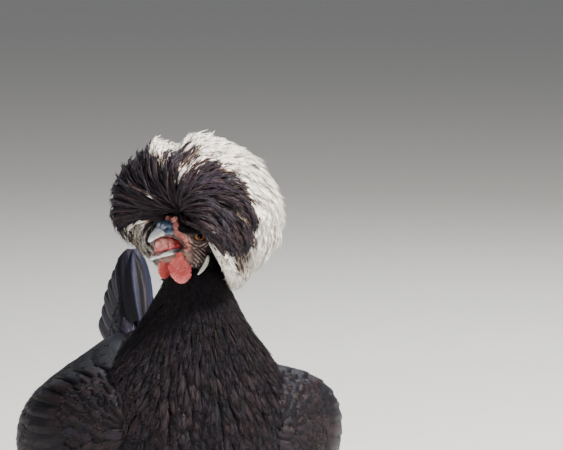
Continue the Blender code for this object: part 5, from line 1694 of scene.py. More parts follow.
def make_tongue():
    """The raised tongue and the soft folds that fill the open mouth."""
    tongue = head_object("tongue_soft", [oval_sleeve(TONGUE_RINGS, 8, 40)])
    remeshed(tongue, TONGUE_VOXEL, smoothing=3)
    points = read_points(tongue)
    head = to_head(points)
    x, y, z = head.T
    place = y + 0.25 * z + 1.6 * noise_at(head, 6.0, 5.0)
    upright = sharp_folds(2 * math.pi * place / 7.6 + 0.6) * ramp(z, -13.0, -7.0)
    groove = -np.exp(-((x / 1.1) ** 2)) * ramp(z, -8.0, -4.0)
    fine = noise_at(head, 2.2, 6.0)
    push_out(tongue, points, 0.34 * upright + 0.7 * groove + 0.30 * fine)
    # Crimson share: lower down partly the tongue's own deeper red and partly painted shade, with painted shade in
    # the crease beneath it (under) and in the folds (crease).
    deep = ramp(-z + 0.22 * (y + 24.0) + 1.5 * fine, 4.5, 10.5)
    under = ramp(TONGUE_CREASE_Z + TONGUE_CREASE_SLOPE * y - z, -1.4, 0.8)
    set_values(tongue, deep=np.maximum(deep, under), crease=ramp(-upright, 0.0, 0.9))
    dress(tongue, "mouth", "pink_skin", "tongue")


COMB_FOOT = ((5.6, -17.2, 7), (3, 3.4, 4.9))
COMB_VOXEL = 0.36


def make_comb():
    shells = [egg(COMB_BASE)]
    for sign, _ in SIDES:
        shells.append(egg((COMB_AT, COMB_RADII), (COMB_LEAN, sign * COMB_SPLAY, 0.0), sign))
        shells.append(egg(COMB_FOOT, sign=sign))
    comb = remeshed(head_object("comb_flesh", shells), COMB_VOXEL, smoothing=2)
    points = read_points(comb)
    head = to_head(points)
    lumps = noise_at(head, 2.2, 12.0) * 0.9 + noise_at(head, 1.0, 13.0) * 0.45
    push_out(comb, points, lumps - 0.1)
    # crease marks the sunk lumps, which the comb's material darkens as painted shade.
    set_values(comb, crease=ramp(-lumps, 0.0, 0.6))
    dress(comb, "comb", "red_skin", "comb")


def make_wattle(sign, side):
    """A flat hanging lobe with a grained skin and a slightly rolled, uneven rim."""
    table = spline_table(WATTLE_ROWS, 10)
    around = ring_angles(72)
    x, y, z = WATTLE_ROOT
    down = table[:, :1] * WATTLE_LENGTH
    swell = np.maximum(table[:, 1:], 0.02)
    wave = 1.0 + 0.04 * np.sin(down * 0.9 + 2.0) + 0.03 * np.sin(down * 2.1)
    along = WATTLE_WIDTH / 2 * swell * wave * np.sin(around)
    roll = 1.0 + 0.25 * np.sin(around) ** 8
    across = WATTLE_THICK / 2 * (0.5 + 0.5 * swell) * np.cos(around) * roll * np.minimum(1.0, swell * 6.0)
    outward = x + math.tan(WATTLE_FLARE) * down + across + math.tan(WATTLE_TURN) * along
    grid = stacked(sign * outward, y + along + WATTLE_BACK * down, z - down)
    wattle = head_object(f"wattle_flesh_{side}", [sleeve(grid)])
    head = to_head(read_points(wattle))
    grain = np.abs(noise_at(head, 1.5, 15.0 + sign)) * 0.9 + noise_at(head, 0.8, 17.0) * 0.25
    bend = 0.8 * np.sin((head[:, 2] + 13.0) * 0.22) + 0.5 * noise_at(head, 9.0, 19.0)
    moved = head + (read_normals(wattle) @ HEAD_ROTATION) * (0.20 * grain - 0.06)[:, None]
    moved[:, 0] += sign * bend * ramp(-head[:, 2], 16.0, 24.0)
    write_points(wattle, from_head(moved))
    # crease marks the sunk grain, which the wattle's material darkens as painted shade.
    set_values(wattle, crease=ramp(0.35 - grain, 0.0, 0.3))
    dress(wattle, "wattle", "red_skin", f"wattle_{side}")


LOBE_BOW = -0.038


def make_lobe(sign, side):
    back, outward = LOBE_TURN
    shell = egg((LOBE_AT, LOBE_RADII), (back, sign * -outward, 0.0), sign, 48, 48)
    lobe = head_object(f"lobe_flesh_{side}", [shell])
    head = to_head(read_points(lobe))
    up = head[:, 2] - LOBE_AT[2]
    slope = (head @ np.array((0.0, 0.82, 0.57))) / 2.2 + 0.5 * noise_at(head, 4.0, 23.0)
    wrinkles = 0.10 * sharp_folds(2 * math.pi * slope) + noise_at(head, 1.2, 24.0) * 0.12
    head[:, 1] += LOBE_BOW * up**2
    push_out(lobe, from_head(head), wrinkles)
    # crease marks the sunk wrinkles, which the lobe's material darkens as painted shade.
    set_values(lobe, crease=ramp(-wrinkles, 0.0, 0.25))
    dress(lobe, "lobe", "pale_lobe", f"earlobe_{side}")


# --- Shanks, feet and claws ---

SCUTE_RISE = 0.55
SCALE_RISE = 0.20
SEAM_SHARE = 0.22
SCALED_END_ANGLES = (0.4, 0.8, 1.2, 1.5)


def scute_relief(along, around, plates, half_angle=1.05):
    """Raised plates in front, where around is a quarter turn, and small scales elsewhere; in millimetres."""
    ahead = np.abs(np.angle(np.exp(1j * (around - math.pi / 2))))
    lean = along * plates + 0.25 * np.cos(around)
    part = lean - np.floor(lean)
    plate = part**0.7 * ramp(-part, -1.0, -0.80)
    shown = ramp(-ahead, -half_angle, -half_angle + 0.22)
    seam = 1.0 - 0.8 * np.exp(-(((ahead - 0.12) / 0.05) ** 2))
    small = np.abs(np.sin(along * plates * 3.6 + np.cos(around * 9.0)) * np.cos(around * 7.0))
    return SCUTE_RISE * plate * shown * seam + SCALE_RISE * small * (1.0 - shown)


def scaled_limb(centres, radii, plates, per_span, count=56):
    """A limb shell with scutes on its front or upper side, and how deep in a seam each point is."""
    grid = limb_grid(centres, radii, per_span, count)
    middles = grid.mean(axis=1, keepdims=True)
    spans = np.linalg.norm(np.diff(middles[:, 0], axis=0), axis=-1)
    along = np.concatenate([[0.0], np.cumsum(spans)])[:, None] / spans.sum()
    relief = scute_relief(along, ring_angles(count)[None], plates)
    rings = rounded(grid + unit(grid - middles) * relief[..., None], middles, SCALED_END_ANGLES)
    points, faces = sleeve(rings)
    seams = np.zeros(len(points))
    first = len(SCALED_END_ANGLES) * count
    seams[first:first + relief.size] = ramp(-relief, -SEAM_SHARE * SCUTE_RISE, 0.0).ravel()
    return points, faces, seams


FLOOR_GAP = 0.05


def on_floor(points):
    """Points, none of them lower than just over the floor."""
    return np.maximum(points, (-np.inf, -np.inf, FLOOR_GAP))


def toe_line(sign, length, angle):
    """Start, direction and end of a toe on the floor."""
    ankle = mirrored(ANKLE_AT, sign)
    turn = math.radians(angle)
    ahead = np.array((sign * math.sin(turn), -math.cos(turn), 0.0))
    start = np.array((ankle[0], ankle[1], TOE_THICK * TOE_SINK))
    return start, ahead, start + ahead * length


def toe_shell(sign, length, angle):
    start, ahead, _ = toe_line(sign, length, angle)
    last = 8 if length > LONG_TOE else 6
    places = []
    radii = []
    for i in range(last + 1):
        thick = lerp(TOE_THICK, TOE_TIP_THICK, i / last)
        places.append(start + ahead * length * (i / last) + np.array((0, 0, (thick - TOE_THICK) * TOE_SINK)))
        radii.append(thick * (TOE_WAIST if i % 2 else 1.0) - SCUTE_RISE * 0.5)
    points, faces, seams = scaled_limb(places, radii, max(4, int(length / 3.4)), 14, 40)
    return on_floor(points), faces, seams


def claw_shell(sign, length, angle):
    """A curved claw that goes on from the toe's end and comes down to the floor."""
    _, ahead, end = toe_line(sign, length, angle)
    places = []
    radii = []
    for share in np.linspace(0.0, 1.0, 7):
        arch = CLAW_ARCH * math.sin(math.pi * min(1.0, share + 0.15))
        height = CLAW_ROOT_Z + arch - CLAW_FALL * share
        along = CLAW_LENGTH * share - CLAW_ROOT_INSET
        places.append(end + ahead * along + np.array((0, 0, height - end[2])))
        radii.append(CLAW_THICK * (1.0 - CLAW_TAPER * share**1.2))
    points, faces = limb(places, radii, 5, 20)
    return on_floor(points), faces


def make_leg(sign, side):
    hock, ankle = mirrored(LEG[-1], sign), mirrored(ANKLE_AT, sign)
    places = [lerp(hock, ankle, share) for share in (0.0, 0.25, 0.8, 1.0)]
    *shell, seams = scaled_limb(places, [r - 0.2 for r in SHANK_RADII], 14, 66)
    shank = shell_object(f"shank_scaled_{side}", shell)
    set_values(shank, seam=seams)
    dress(shank, "scale", "slate_scale", f"shank_{side}")
    pad, pad_faces = egg(FOOT_PAD, sign=sign, rings=40, count=64)
    pad = on_floor(pad)
    pad = on_floor(pad + unit(pad - mirrored(FOOT_PAD[0], sign)) * (0.25 * noise_at(pad, 2.0, 41.0))[:, None])
    toes = [toe_shell(sign, length, angle) for _, length, angle in TOES]
    foot = shell_object(f"foot_scaled_{side}", joined([(pad, pad_faces)] + [toe[:2] for toe in toes]))
    set_values(foot, seam=np.concatenate([np.zeros(len(pad))] + [toe[2] for toe in toes]))
    dress(foot, "scale", "slate_scale", f"foot_{side}")
    claws = shell_object(f"claws_{side}", joined([claw_shell(sign, length, angle) for _, length, angle in TOES]))
    dress(claws, "claw", "claw_horn", *[f"claw_{side}_{name}" for name, _, _ in TOES])


# --- Materials ---


class Nodes:
    """Short ways to add nodes to one material or group. Inputs may be sockets or plain values."""

    def __init__(self, tree):
        self.tree = tree

    def add(self, kind, inputs=None, **settings):
        node = self.tree.nodes.new(kind)
        for name, value in settings.items():
            setattr(node, name, value)
        for name, value in (inputs or {}).items():
            self.join(value, node.inputs[name])
        return node

    def join(self, value, socket):
        """Links a socket, or sets a value; a colour may be just red, green and blue."""
        if isinstance(value, bpy.types.NodeSocket):
            self.tree.links.new(value, socket)
        elif socket.type == "RGBA":
            socket.default_value = (*value, 1.0)
        else:
            socket.default_value = value

    def maths(self, operation, a, b=0.0):
        return self.add("ShaderNodeMath", {0: a, 1: b}, operation=operation).outputs[0]

    def plus(self, a, b):
        return self.maths("ADD", a, b)

    def times(self, a, b):
        return self.maths("MULTIPLY", a, b)

    def blend(self, share, a, b, kind="MIX"):
        node = self.add("ShaderNodeMix", {0: share}, data_type="RGBA", blend_type=kind, clamp_factor=True)
        self.join(a, node.inputs[6])
        self.join(b, node.inputs[7])
        return node.outputs[2]

    def cast(self, colour, other):
        return self.blend(1.0, colour, other, "MULTIPLY")

    def span(self, value, low, high, start=0.0, end=1.0):
        node = self.add("ShaderNodeMapRange", {0: value, 1: low, 2: high, 3: start, 4: end})
        node.interpolation_type = "SMOOTHSTEP"
        return node.outputs[0]

    def shade(self, value, low, high, a, b, most=1.0):
        """From colour a towards b as a value goes from low to high, up to a share."""
        return self.blend(self.span(value, low, high, 0.0, most), a, b)

    def stored(self, name):
        return self.add("ShaderNodeAttribute", attribute_name=name).outputs["Fac"]

    def place(self):
        return self.add("ShaderNodeTexCoord").outputs["Object"]

    def feather_place(self):
        """How far across and along its feather a point is."""
        place = self.add("ShaderNodeUVMap", uv_map="feather").outputs[0]
        return self.add("ShaderNodeSeparateXYZ", {0: place}).outputs

    def grain(self, scale, detail=2.0, rough=0.5, vector=None):
        inputs = {"Scale": scale, "Detail": detail, "Roughness": rough, "Vector": vector or self.place()}
        return self.add("ShaderNodeTexNoise", inputs).outputs["Fac"]

    def cells(self, scale, feature="F1"):
        inputs = {"Scale": scale, "Vector": self.place()}
        return self.add("ShaderNodeTexVoronoi", inputs, feature=feature).outputs["Distance"]

    def bump(self, height, strength, distance):
        inputs = {"Height": height, "Strength": strength, "Distance": distance}
        return self.add("ShaderNodeBump", inputs).outputs["Normal"]

    def vane(self, barbs, slant, unevenness):
        """Outputs of the feather pattern, with its own barbs."""
        inputs = {"Barbs": barbs, "Slant": slant, "Unevenness": unevenness}
        return self.add("ShaderNodeGroup", inputs, node_tree=BARBS).outputs


def barb_group():
    """Shared pattern: fine slanted barbs, the quill and the worn end of a feather, from its own map."""
    group = bpy.data.node_groups.new("feather barbs", "ShaderNodeTree")
    sockets = {"INPUT": ("Barbs", "Slant", "Unevenness"), "OUTPUT": ("Lines", "Quill", "End", "Root")}
    for direction, names in sockets.items():
        for name in names:
            group.interface.new_socket(name, in_out=direction, socket_type="NodeSocketFloat")
    nodes = Nodes(group)
    source, sink = nodes.add("NodeGroupInput").outputs, nodes.add("NodeGroupOutput").inputs
    across, along, _ = nodes.feather_place()
    beside = nodes.maths("ABSOLUTE", nodes.maths("SUBTRACT", across, 0.5))
    slant = nodes.maths("SUBTRACT", along, nodes.times(beside, source["Slant"]))
    wander = nodes.times(nodes.grain(260.0), source["Unevenness"])
    turns = nodes.times(nodes.plus(slant, wander), source["Barbs"])
    wave = nodes.maths("SINE", nodes.times(turns, 2 * math.pi))
    nodes.join(nodes.plus(nodes.times(wave, 0.5), 0.5), sink["Lines"])
    nodes.join(nodes.span(beside, 0.05, 0.015), sink["Quill"])
    nodes.join(nodes.span(along, 0.72, 1.0), sink["End"])
    nodes.join(nodes.span(along, 0.55, 0.1), sink["Root"])
    return group


BARBS = barb_group()
BLUE_BLACK = (0.0075, 0.0090, 0.0155)
BROWN_BLACK = (0.0200, 0.0112, 0.0098)
PLUM_BLACK = (0.0160, 0.0090, 0.0130)
RUSTY_TIP = (0.055, 0.030, 0.021)
QUILL_BLACK = (0.045, 0.040, 0.045)
CREAM_WHITE = (0.94, 0.87, 0.76)
CLEAR_WHITE = (0.95, 0.93, 0.91)
BUFF_STAIN = (0.64, 0.48, 0.31)
DARK_BUFF = (0.12, 0.070, 0.048)
ROOT_GREY = (0.42, 0.40, 0.41)
SHADED_WHITE = (0.62, 0.54, 0.46)
# Painted shade for the gaps between the barbs of white feathers.
BARB_GAP_SHADE = (0.56, 0.50, 0.44)
# Last colours that black feathers are multiplied by: a purple-brown crest and coat, the coat and the plainer wings
# much darker than the crest as painted shade, and a slate-blue tail as a painted sky reflection.
CREST_CAST = (0.78, 0.62, 0.72)
COAT_CAST = (0.28, 0.24, 0.28)
WING_CAST = (0.26, 0.25, 0.30)
TAIL_PAINTED_REFLECTION = (0.50, 0.66, 0.98)


def new_material(name):
    material = bpy.data.materials.new(name)
    material.use_nodes = True
    material.node_tree.nodes.clear()
    return material, Nodes(material.node_tree)


def finished(material, nodes, inputs):
    """A material with its shader, whose inputs are given by name."""
    shader = nodes.add("ShaderNodeBsdfPrincipled", inputs)
    nodes.add("ShaderNodeOutputMaterial", {0: shader.outputs[0]})
    return material


def clumped(nodes):
    """Clumped barbs along a feather, of a feather's own pattern, from 0 to 1."""
    across, along, _ = nodes.feather_place()
    across = nodes.plus(nodes.times(across, 5.0), nodes.times(nodes.stored("tint"), 60.0))
    own = nodes.times(nodes.stored("tone"), 30.0)
    vector = nodes.add("ShaderNodeCombineXYZ", {0: across, 1: nodes.times(along, 1.1), 2: own}).outputs[0]
    return nodes.span(nodes.grain(1.0, 3.0, 0.6, vector), 0.32, 0.68)


def black_vane(nodes, vane, clumps, last):
    """Colour of black feathers: blue and brown casts, a painted highlight on the barbs, browner worn ends, and
    painted highlight and shade on clumped barbs, times a last colour.
    """
    tone, tint = nodes.stored("tone"), nodes.stored("tint")
    browner = nodes.plus(nodes.grain(22.0), nodes.times(tint, 0.5))
    colour = nodes.shade(browner, 0.5, 0.95, BLUE_BLACK, BROWN_BLACK)
    colour = nodes.blend(nodes.times(tone, 0.6), colour, PLUM_BLACK)
    worn = nodes.times(vane["End"], nodes.span(nodes.grain(90.0, 3.0), 0.42, 0.7))
    colour = nodes.blend(nodes.times(worn, 0.5), colour, RUSTY_TIP)
    # Painted highlight: the barb lines lightened.
    colour = nodes.blend(nodes.times(vane["Lines"], 0.6), colour, nodes.cast(colour, (2.6, 2.5, 2.6)))
    # dark: a random darker tone for some feathers, and painted shade between clumps of barbs.
    dark = nodes.cast(colour, (0.30, 0.30, 0.32))
    colour = nodes.shade(tone, 0.45, 0.0, colour, dark, 0.8)
    # lit: painted highlight on the clumps of barbs, whose gaps get painted shade.
    lit = nodes.cast(colour, (2.3, 2.1, 2.1))
    colour = nodes.shade(clumps, 0.45, 0.0, colour, dark, 0.85)
    colour = nodes.shade(clumps, 0.55, 1.0, colour, lit, 0.8)
    return nodes.cast(nodes.blend(nodes.times(vane["Quill"], 0.3), colour, QUILL_BLACK), last)


def white_vane(nodes, vane, clumps):
    """Colour of white feathers: cream to clear white, buff stains, a greyer root, and painted shade between
    clumped barbs and in the gaps between barbs.
    """
    colour = nodes.blend(nodes.stored("tone"), CREAM_WHITE, CLEAR_WHITE)
    stain = nodes.plus(nodes.grain(40.0, 3.0, 0.6), nodes.times(nodes.stored("tint"), 0.18))
    colour = nodes.shade(stain, 0.62, 0.86, colour, BUFF_STAIN, 0.4)
    colour = nodes.blend(nodes.times(vane["Root"], 0.25), colour, ROOT_GREY)
    # Painted shade between clumps of barbs.
    colour = nodes.shade(clumps, 0.5, 0.0, colour, SHADED_WHITE, 0.35)
    # Painted shade in the gaps between barbs.
    return nodes.blend(nodes.times(nodes.maths("SUBTRACT", 1.0, vane["Lines"]), 0.10), colour, BARB_GAP_SHADE)


def black_feather_look(name, barbs, slant, roughness, last):
    """Glossy black feather."""
    material, nodes = new_material(name)
    vane = nodes.vane(barbs, slant, 2.0 / barbs)
    height = nodes.plus(nodes.times(vane["Lines"], 0.7), nodes.grain(1500.0))
    return finished(material, nodes, {
        "Base Color": black_vane(nodes, vane, clumped(nodes), last),
        "Roughness": nodes.span(nodes.grain(420.0, 3.0), 0.2, 0.8, roughness - 0.08, roughness + 0.10),
        "Normal": nodes.bump(height, 0.5, 0.0003),
        "Sheen Weight": 0.025, "Sheen Roughness": 0.35, "Sheen Tint": (0.40, 0.50, 0.80),
        "Specular IOR Level": 0.16,
    })


def crest_feather_look():
    """Loose crest feather, black or white by its marking, and buff where the two meet."""
    material, nodes = new_material("crest feather")
    vane = nodes.vane(10.0, 1.5, 0.22)
    mark, clumps = nodes.stored("mark"), clumped(nodes)
    meeting = nodes.shade(mark, 0.35, 0.65, DARK_BUFF, BUFF_STAIN)
    colour = nodes.shade(mark, 0.15, 0.40, black_vane(nodes, vane, clumps, CREST_CAST), meeting)
    height = nodes.plus(nodes.times(vane["Lines"], 0.4), nodes.grain(1400.0))
    rough = nodes.plus(nodes.times(nodes.grain(300.0), 0.16), 0.40)
    return finished(material, nodes, {
        "Base Color": nodes.shade(mark, 0.50, 0.80, colour, white_vane(nodes, vane, clumps)),
        "Roughness": nodes.plus(rough, nodes.times(mark, 0.16)),
        "Normal": nodes.bump(nodes.plus(height, nodes.times(clumps, 1.6)), 0.6, 0.0004),
        "Sheen Weight": 0.03, "Sheen Roughness": 0.4, "Sheen Tint": (0.60, 0.66, 0.95),
        "Specular IOR Level": 0.26,
    })


def down_look():
    """Matted soft down, white or black after its marking."""
    material, nodes = new_material("crest down")
    fuzz = nodes.grain(700.0, 4.0, 0.7)
    pale = nodes.shade(fuzz, 0.3, 0.7, (0.55, 0.51, 0.46), (0.80, 0.77, 0.71))
    black = nodes.shade(fuzz, 0.3, 0.7, (0.006, 0.006, 0.008), (0.022, 0.018, 0.020))
    return finished(material, nodes, {
        "Base Color": nodes.blend(nodes.stored("mark"), black, pale),
        "Roughness": nodes.span(fuzz, 0.0, 1.0, 0.75, 0.95),
        "Normal": nodes.bump(fuzz, 0.8, 0.0008),
        "Sheen Weight": 0.1, "Specular IOR Level": 0.1,
    })


def skin_look():
    """Folded dark pink face, red at the bill's root, with painted shade in its creases and painted highlight on
    its ridges, and black feathered skin behind it.
    """
    material, nodes = new_material("face skin")
    bare, crease, red, pale, wet, rim = (nodes.stored(n) for n in ("bare", "crease", "red", "pale", "wet", "rim"))
    blotch = nodes.grain(330.0, 4.0, 0.6)
    pores = nodes.cells(1500.0)
    dusk = nodes.shade(blotch, 0.35, 0.7, (0.105, 0.055, 0.043), (0.030, 0.017, 0.015))
    blush = nodes.shade(blotch, 0.35, 0.7, (0.62, 0.34, 0.28), (0.40, 0.19, 0.15))
    # Painted shade: the face darkens into the creases of its folds.
    colour = nodes.shade(crease, 0.4, -0.5, nodes.blend(pale, dusk, blush), (0.010, 0.006, 0.006), 0.92)
    # Painted highlight: pale light broken along the ridges of the folds.
    ridge_highlight = nodes.times(nodes.span(crease, 0.55, 1.0), nodes.span(nodes.grain(240.0), 0.40, 0.62))
    colour = nodes.blend(nodes.times(ridge_highlight, 0.85), colour, (0.60, 0.44, 0.42))
    flush = nodes.shade(blotch, 0.3, 0.75, (0.66, 0.17, 0.13), (0.42, 0.06, 0.05))
    colour = nodes.blend(nodes.times(red, 0.85), colour, flush)
    colour = nodes.shade(pores, 0.32, 0.1, colour, (0.10, 0.035, 0.03), 0.25)
    lining = nodes.shade(blotch, 0.3, 0.7, (0.42, 0.06, 0.05), (0.20, 0.02, 0.02))
    colour = nodes.blend(wet, colour, lining)
    colour = nodes.blend(nodes.times(rim, 0.92), colour, (0.016, 0.012, 0.013))
    plain = nodes.blend(nodes.grain(600.0, 3.0), (0.006, 0.006, 0.008), (0.020, 0.016, 0.018))
    gloss = nodes.maths("MAXIMUM", wet, nodes.times(rim, 0.8))
    height = nodes.plus(nodes.times(pores, 0.8), nodes.grain(1100.0, 3.0))
    return finished(material, nodes, {
        "Base Color": nodes.blend(bare, plain, colour),
        "Roughness": nodes.span(gloss, 0.0, 1.0, 0.52, 0.16),
        "Normal": nodes.bump(height, 0.55, 0.0004),
        "Subsurface Weight": 0.12, "Subsurface Radius": (0.0030, 0.0010, 0.0006), "Subsurface Scale": 1.0,
    })


def eye_look():
    """Bay iris with radial fibres, darker at its rims, round a black pupil, under a clear wet surface."""
    material, nodes = new_material("bay eye")
    reach, fibre = nodes.stored("reach"), nodes.stored("fibre")
    iris = nodes.shade(fibre, -0.7, 0.7, (0.26, 0.070, 0.010), (0.54, 0.21, 0.040))
    iris = nodes.shade(reach, PUPIL_RADIUS + 1.1, PUPIL_RADIUS + 0.1, iris, (0.16, 0.040, 0.010), 0.75)
    iris = nodes.shade(reach, IRIS_RADIUS - 1.0, IRIS_RADIUS - 0.1, iris, (0.050, 0.018, 0.010))
    uneven = nodes.plus(reach, nodes.times(fibre, 0.06))
    colour = nodes.shade(uneven, PUPIL_RADIUS + 0.10, PUPIL_RADIUS - 0.10, iris, (0.002, 0.002, 0.003))
    return finished(material, nodes, {
        "Base Color": nodes.shade(reach, IRIS_RADIUS - 0.05, IRIS_RADIUS + 0.3, colour, (0.030, 0.020, 0.018)),
        "Roughness": nodes.span(fibre, -1.0, 1.0, 0.10, 0.2),
        "Coat Weight": 0.7, "Coat Roughness": 0.02, "Coat IOR": 1.34, "Specular IOR Level": 0.0,
    })


def bill_look():
    """Ivory horn with a blue-black root and streaks along it, and a pink wet inside."""
    material, nodes = new_material("bill horn")
    root, bulb, edge, wet = (nodes.stored(n) for n in ("root", "bulb", "edge", "wet"))
    stretched = nodes.add("ShaderNodeMapping", {"Vector": nodes.place(), "Scale": (1.0, 1.0, 2.6)}).outputs[0]
    streak = nodes.grain(260.0, 3.0, 0.6, stretched)
    fine = nodes.grain(900.0, 3.0)
    ivory = nodes.shade(streak, 0.42, 0.7, (0.80, 0.77, 0.72), (0.36, 0.42, 0.55))
    slate = nodes.shade(streak, 0.35, 0.68, (0.012, 0.022, 0.045), (0.11, 0.17, 0.26))
    knob = nodes.shade(fine, 0.35, 0.7, (0.016, 0.028, 0.050), (0.075, 0.11, 0.17))
    far = nodes.span(nodes.plus(root, nodes.times(streak, 0.5)), 0.45, 1.0)
    colour = nodes.blend(bulb, nodes.blend(far, ivory, slate), knob)
    colour = nodes.blend(nodes.times(edge, 0.75), colour, (0.80, 0.77, 0.74))
    pink = nodes.blend(fine, (0.52, 0.20, 0.17), (0.66, 0.34, 0.29))
    return finished(material, nodes, {
        "Base Color": nodes.blend(wet, colour, pink),
        "Roughness": nodes.span(nodes.plus(fine, nodes.times(bulb, -0.6)), -0.2, 0.8, 0.20, 0.46),
        "Normal": nodes.bump(nodes.plus(streak, fine), 0.25, 0.0003),
        "Coat Weight": nodes.span(nodes.maths("MAXIMUM", far, wet), 0.0, 1.0, 0.3, 1.0),
        "Coat Roughness": 0.08,
    })


def flesh_look(name, pale, deep, grain_scale, roughness, crease_shade, coat):
    """Grained flesh: raised grains, with painted shade in the creases between them and in the sunk places that
    crease marks.
    """
    material, nodes = new_material(name)
    blotch = nodes.grain(210.0, 3.0, 0.6)
    cells = nodes.cells(grain_scale)
    colour = nodes.shade(blotch, 0.3, 0.72, pale, deep)
    # Painted shade between the raised grains.
    colour = nodes.shade(cells, 0.30, 0.75, colour, crease_shade, 0.6)
    # Painted shade where the crease attribute marks sunk folds and pits.
    colour = nodes.blend(nodes.times(nodes.stored("crease"), 0.7), colour, crease_shade)
    height = nodes.maths("SUBTRACT", nodes.times(nodes.grain(1500.0, 3.0), 0.3), cells)
    return finished(material, nodes, {
        "Base Color": nodes.shade(nodes.grain(1800.0), 0.62, 0.72, colour, (0.78, 0.50, 0.44), 0.35),
        "Roughness": nodes.span(blotch, 0.2, 0.8, roughness - 0.08, roughness + 0.1),
        "Normal": nodes.bump(height, 0.6, 0.0005),
        "Coat Weight": coat, "Coat Roughness": 0.25,
        "Subsurface Weight": 0.15, "Subsurface Radius": (0.0035, 0.0010, 0.0007), "Subsurface Scale": 1.0,
    })


def mouth_look():
    """Wet tongue, pale pink above; crimson lower down, partly its own colour and partly painted shade, with
    painted shade in its folds and in the crease under it.
    """
    material, nodes = new_material("mouth flesh")
    blotch = nodes.grain(420.0, 3.0)
    pink = nodes.blend(blotch, (0.62, 0.25, 0.23), (0.74, 0.42, 0.38))
    crimson = nodes.blend(blotch, (0.28, 0.018, 0.022), (0.46, 0.06, 0.06))
    # Painted shade: crimson in the folds and under the tongue; lower down partly its own colour.
    share = nodes.maths("MAXIMUM", nodes.stored("deep"), nodes.times(nodes.stored("crease"), 0.7))
    return finished(material, nodes, {
        "Base Color": nodes.blend(share, pink, crimson),
        "Roughness": nodes.span(blotch, 0.2, 0.8, 0.22, 0.38),
        "Normal": nodes.bump(nodes.grain(1600.0, 3.0), 0.4, 0.0003),
        "Coat Weight": 0.6, "Coat Roughness": 0.12,
        "Subsurface Weight": 0.2, "Subsurface Radius": (0.004, 0.0012, 0.0008), "Subsurface Scale": 1.0,
    })


def scale_look():
    """Slate horn scales, darker at their edges and in the seams, with patches of pale dust."""
    material, nodes = new_material("slate scales")
    blotch = nodes.grain(130.0, 3.0)
    cells = nodes.cells(620.0, "DISTANCE_TO_EDGE")
    colour = nodes.shade(blotch, 0.3, 0.7, (0.060, 0.072, 0.095), (0.145, 0.165, 0.195))
    colour = nodes.shade(cells, 0.05, 0.0, colour, (0.035, 0.035, 0.04), 0.5)
    colour = nodes.blend(nodes.times(nodes.stored("seam"), 0.85), colour, (0.020, 0.020, 0.024))
    dust = nodes.span(nodes.grain(60.0, 4.0, 0.7), 0.55, 0.8, 0.0, 0.4)
    return finished(material, nodes, {
        "Base Color": nodes.blend(nodes.times(dust, 0.6), colour, (0.26, 0.23, 0.19)),
        "Roughness": nodes.span(blotch, 0.2, 0.8, 0.38, 0.58),
        "Normal": nodes.bump(cells, 0.5, 0.0005),
    })


def claw_look():
    """Claw horn, streaked from dark to pale."""
    material, nodes = new_material("claw horn")
    streak = nodes.grain(340.0, 3.0, 0.6)
    return finished(material, nodes, {
        "Base Color": nodes.shade(streak, 0.3, 0.7, (0.13, 0.115, 0.11), (0.42, 0.38, 0.34)),
        "Roughness": nodes.span(streak, 0.2, 0.8, 0.25, 0.45),
        "Normal": nodes.bump(streak, 0.3, 0.0004),
        "Coat Weight": 0.25, "Coat Roughness": 0.2,
    })


def floor_look():
    material, nodes = new_material("pale floor")
    colour = nodes.blend(nodes.grain(30.0, 4.0, 0.6), (0.60, 0.59, 0.57), (0.66, 0.65, 0.63))
    return finished(material, nodes, {"Base Color": colour, "Roughness": 0.85})


LOOKS = {
    # The coat and wings get last colours much darker than the crest's, as painted shade.
    "black_feather": black_feather_look("black feather", 20.0, 0.75, 0.50, COAT_CAST),
    "quill": black_feather_look("black quill feather", 70.0, 0.35, 0.46, WING_CAST),
    # The tail looks get a last colour that paints a blue sky reflection on black feathers.
    "tail_quill": black_feather_look("black tail feather with painted blue reflection", 70.0, 0.35, 0.46, TAIL_PAINTED_REFLECTION),
    "tail_covert": black_feather_look("black tail covert with painted blue reflection", 20.0, 0.75, 0.50, TAIL_PAINTED_REFLECTION),
    "crest_feather": crest_feather_look(),
    "down": down_look(),
    "skin": skin_look(),
    "eye": eye_look(),
    "bill": bill_look(),
    # Each flesh look's colour before its coat weight is the painted shade of its creases.
    "comb": flesh_look("comb", (0.62, 0.26, 0.22), (0.40, 0.10, 0.08), 900.0, 0.42, (0.10, 0.02, 0.02), 0.25),
    "wattle": flesh_look("wattle", (0.80, 0.27, 0.24), (0.64, 0.06, 0.06), 1500.0, 0.42, (0.40, 0.02, 0.024), 0.3),
    "lobe": flesh_look("ear lobe", (0.80, 0.82, 0.74), (0.62, 0.66, 0.58), 800.0, 0.5, (0.34, 0.30, 0.25), 0.1),
    "mouth": mouth_look(),
    "scale": scale_look(),
    "claw": claw_look(),
    "floor": floor_look(),
}


# --- Making the hen ---


def make_skin():
    skin = body_skin()
    boolean(skin, [head_skin()], "UNION")
    drop_crumbs(skin)
    skin.name = "skin"
    sculpt_face(skin)
    dress(skin, "skin", "face_skin", "torso", "neck", "head", "thigh_left", "thigh_right")
    return skin


def make_hen():
    skin = make_skin()
    make_bill_upper()
    make_bill_lower()
    make_tongue()
    make_comb()
    make_head_coat(skin)
    make_brow(skin)
    make_bristles(skin)
    make_crest_down()
    make_crest()
    make_trunk_coat()
    make_tail()
    for sign, side in SIDES:
        make_eye(sign, side)
        make_wattle(sign, side)
        make_lobe(sign, side)
        make_thigh_coat(sign, side)
        make_wing(sign, side)
        make_leg(sign, side)


# --- Floor, light and camera ---

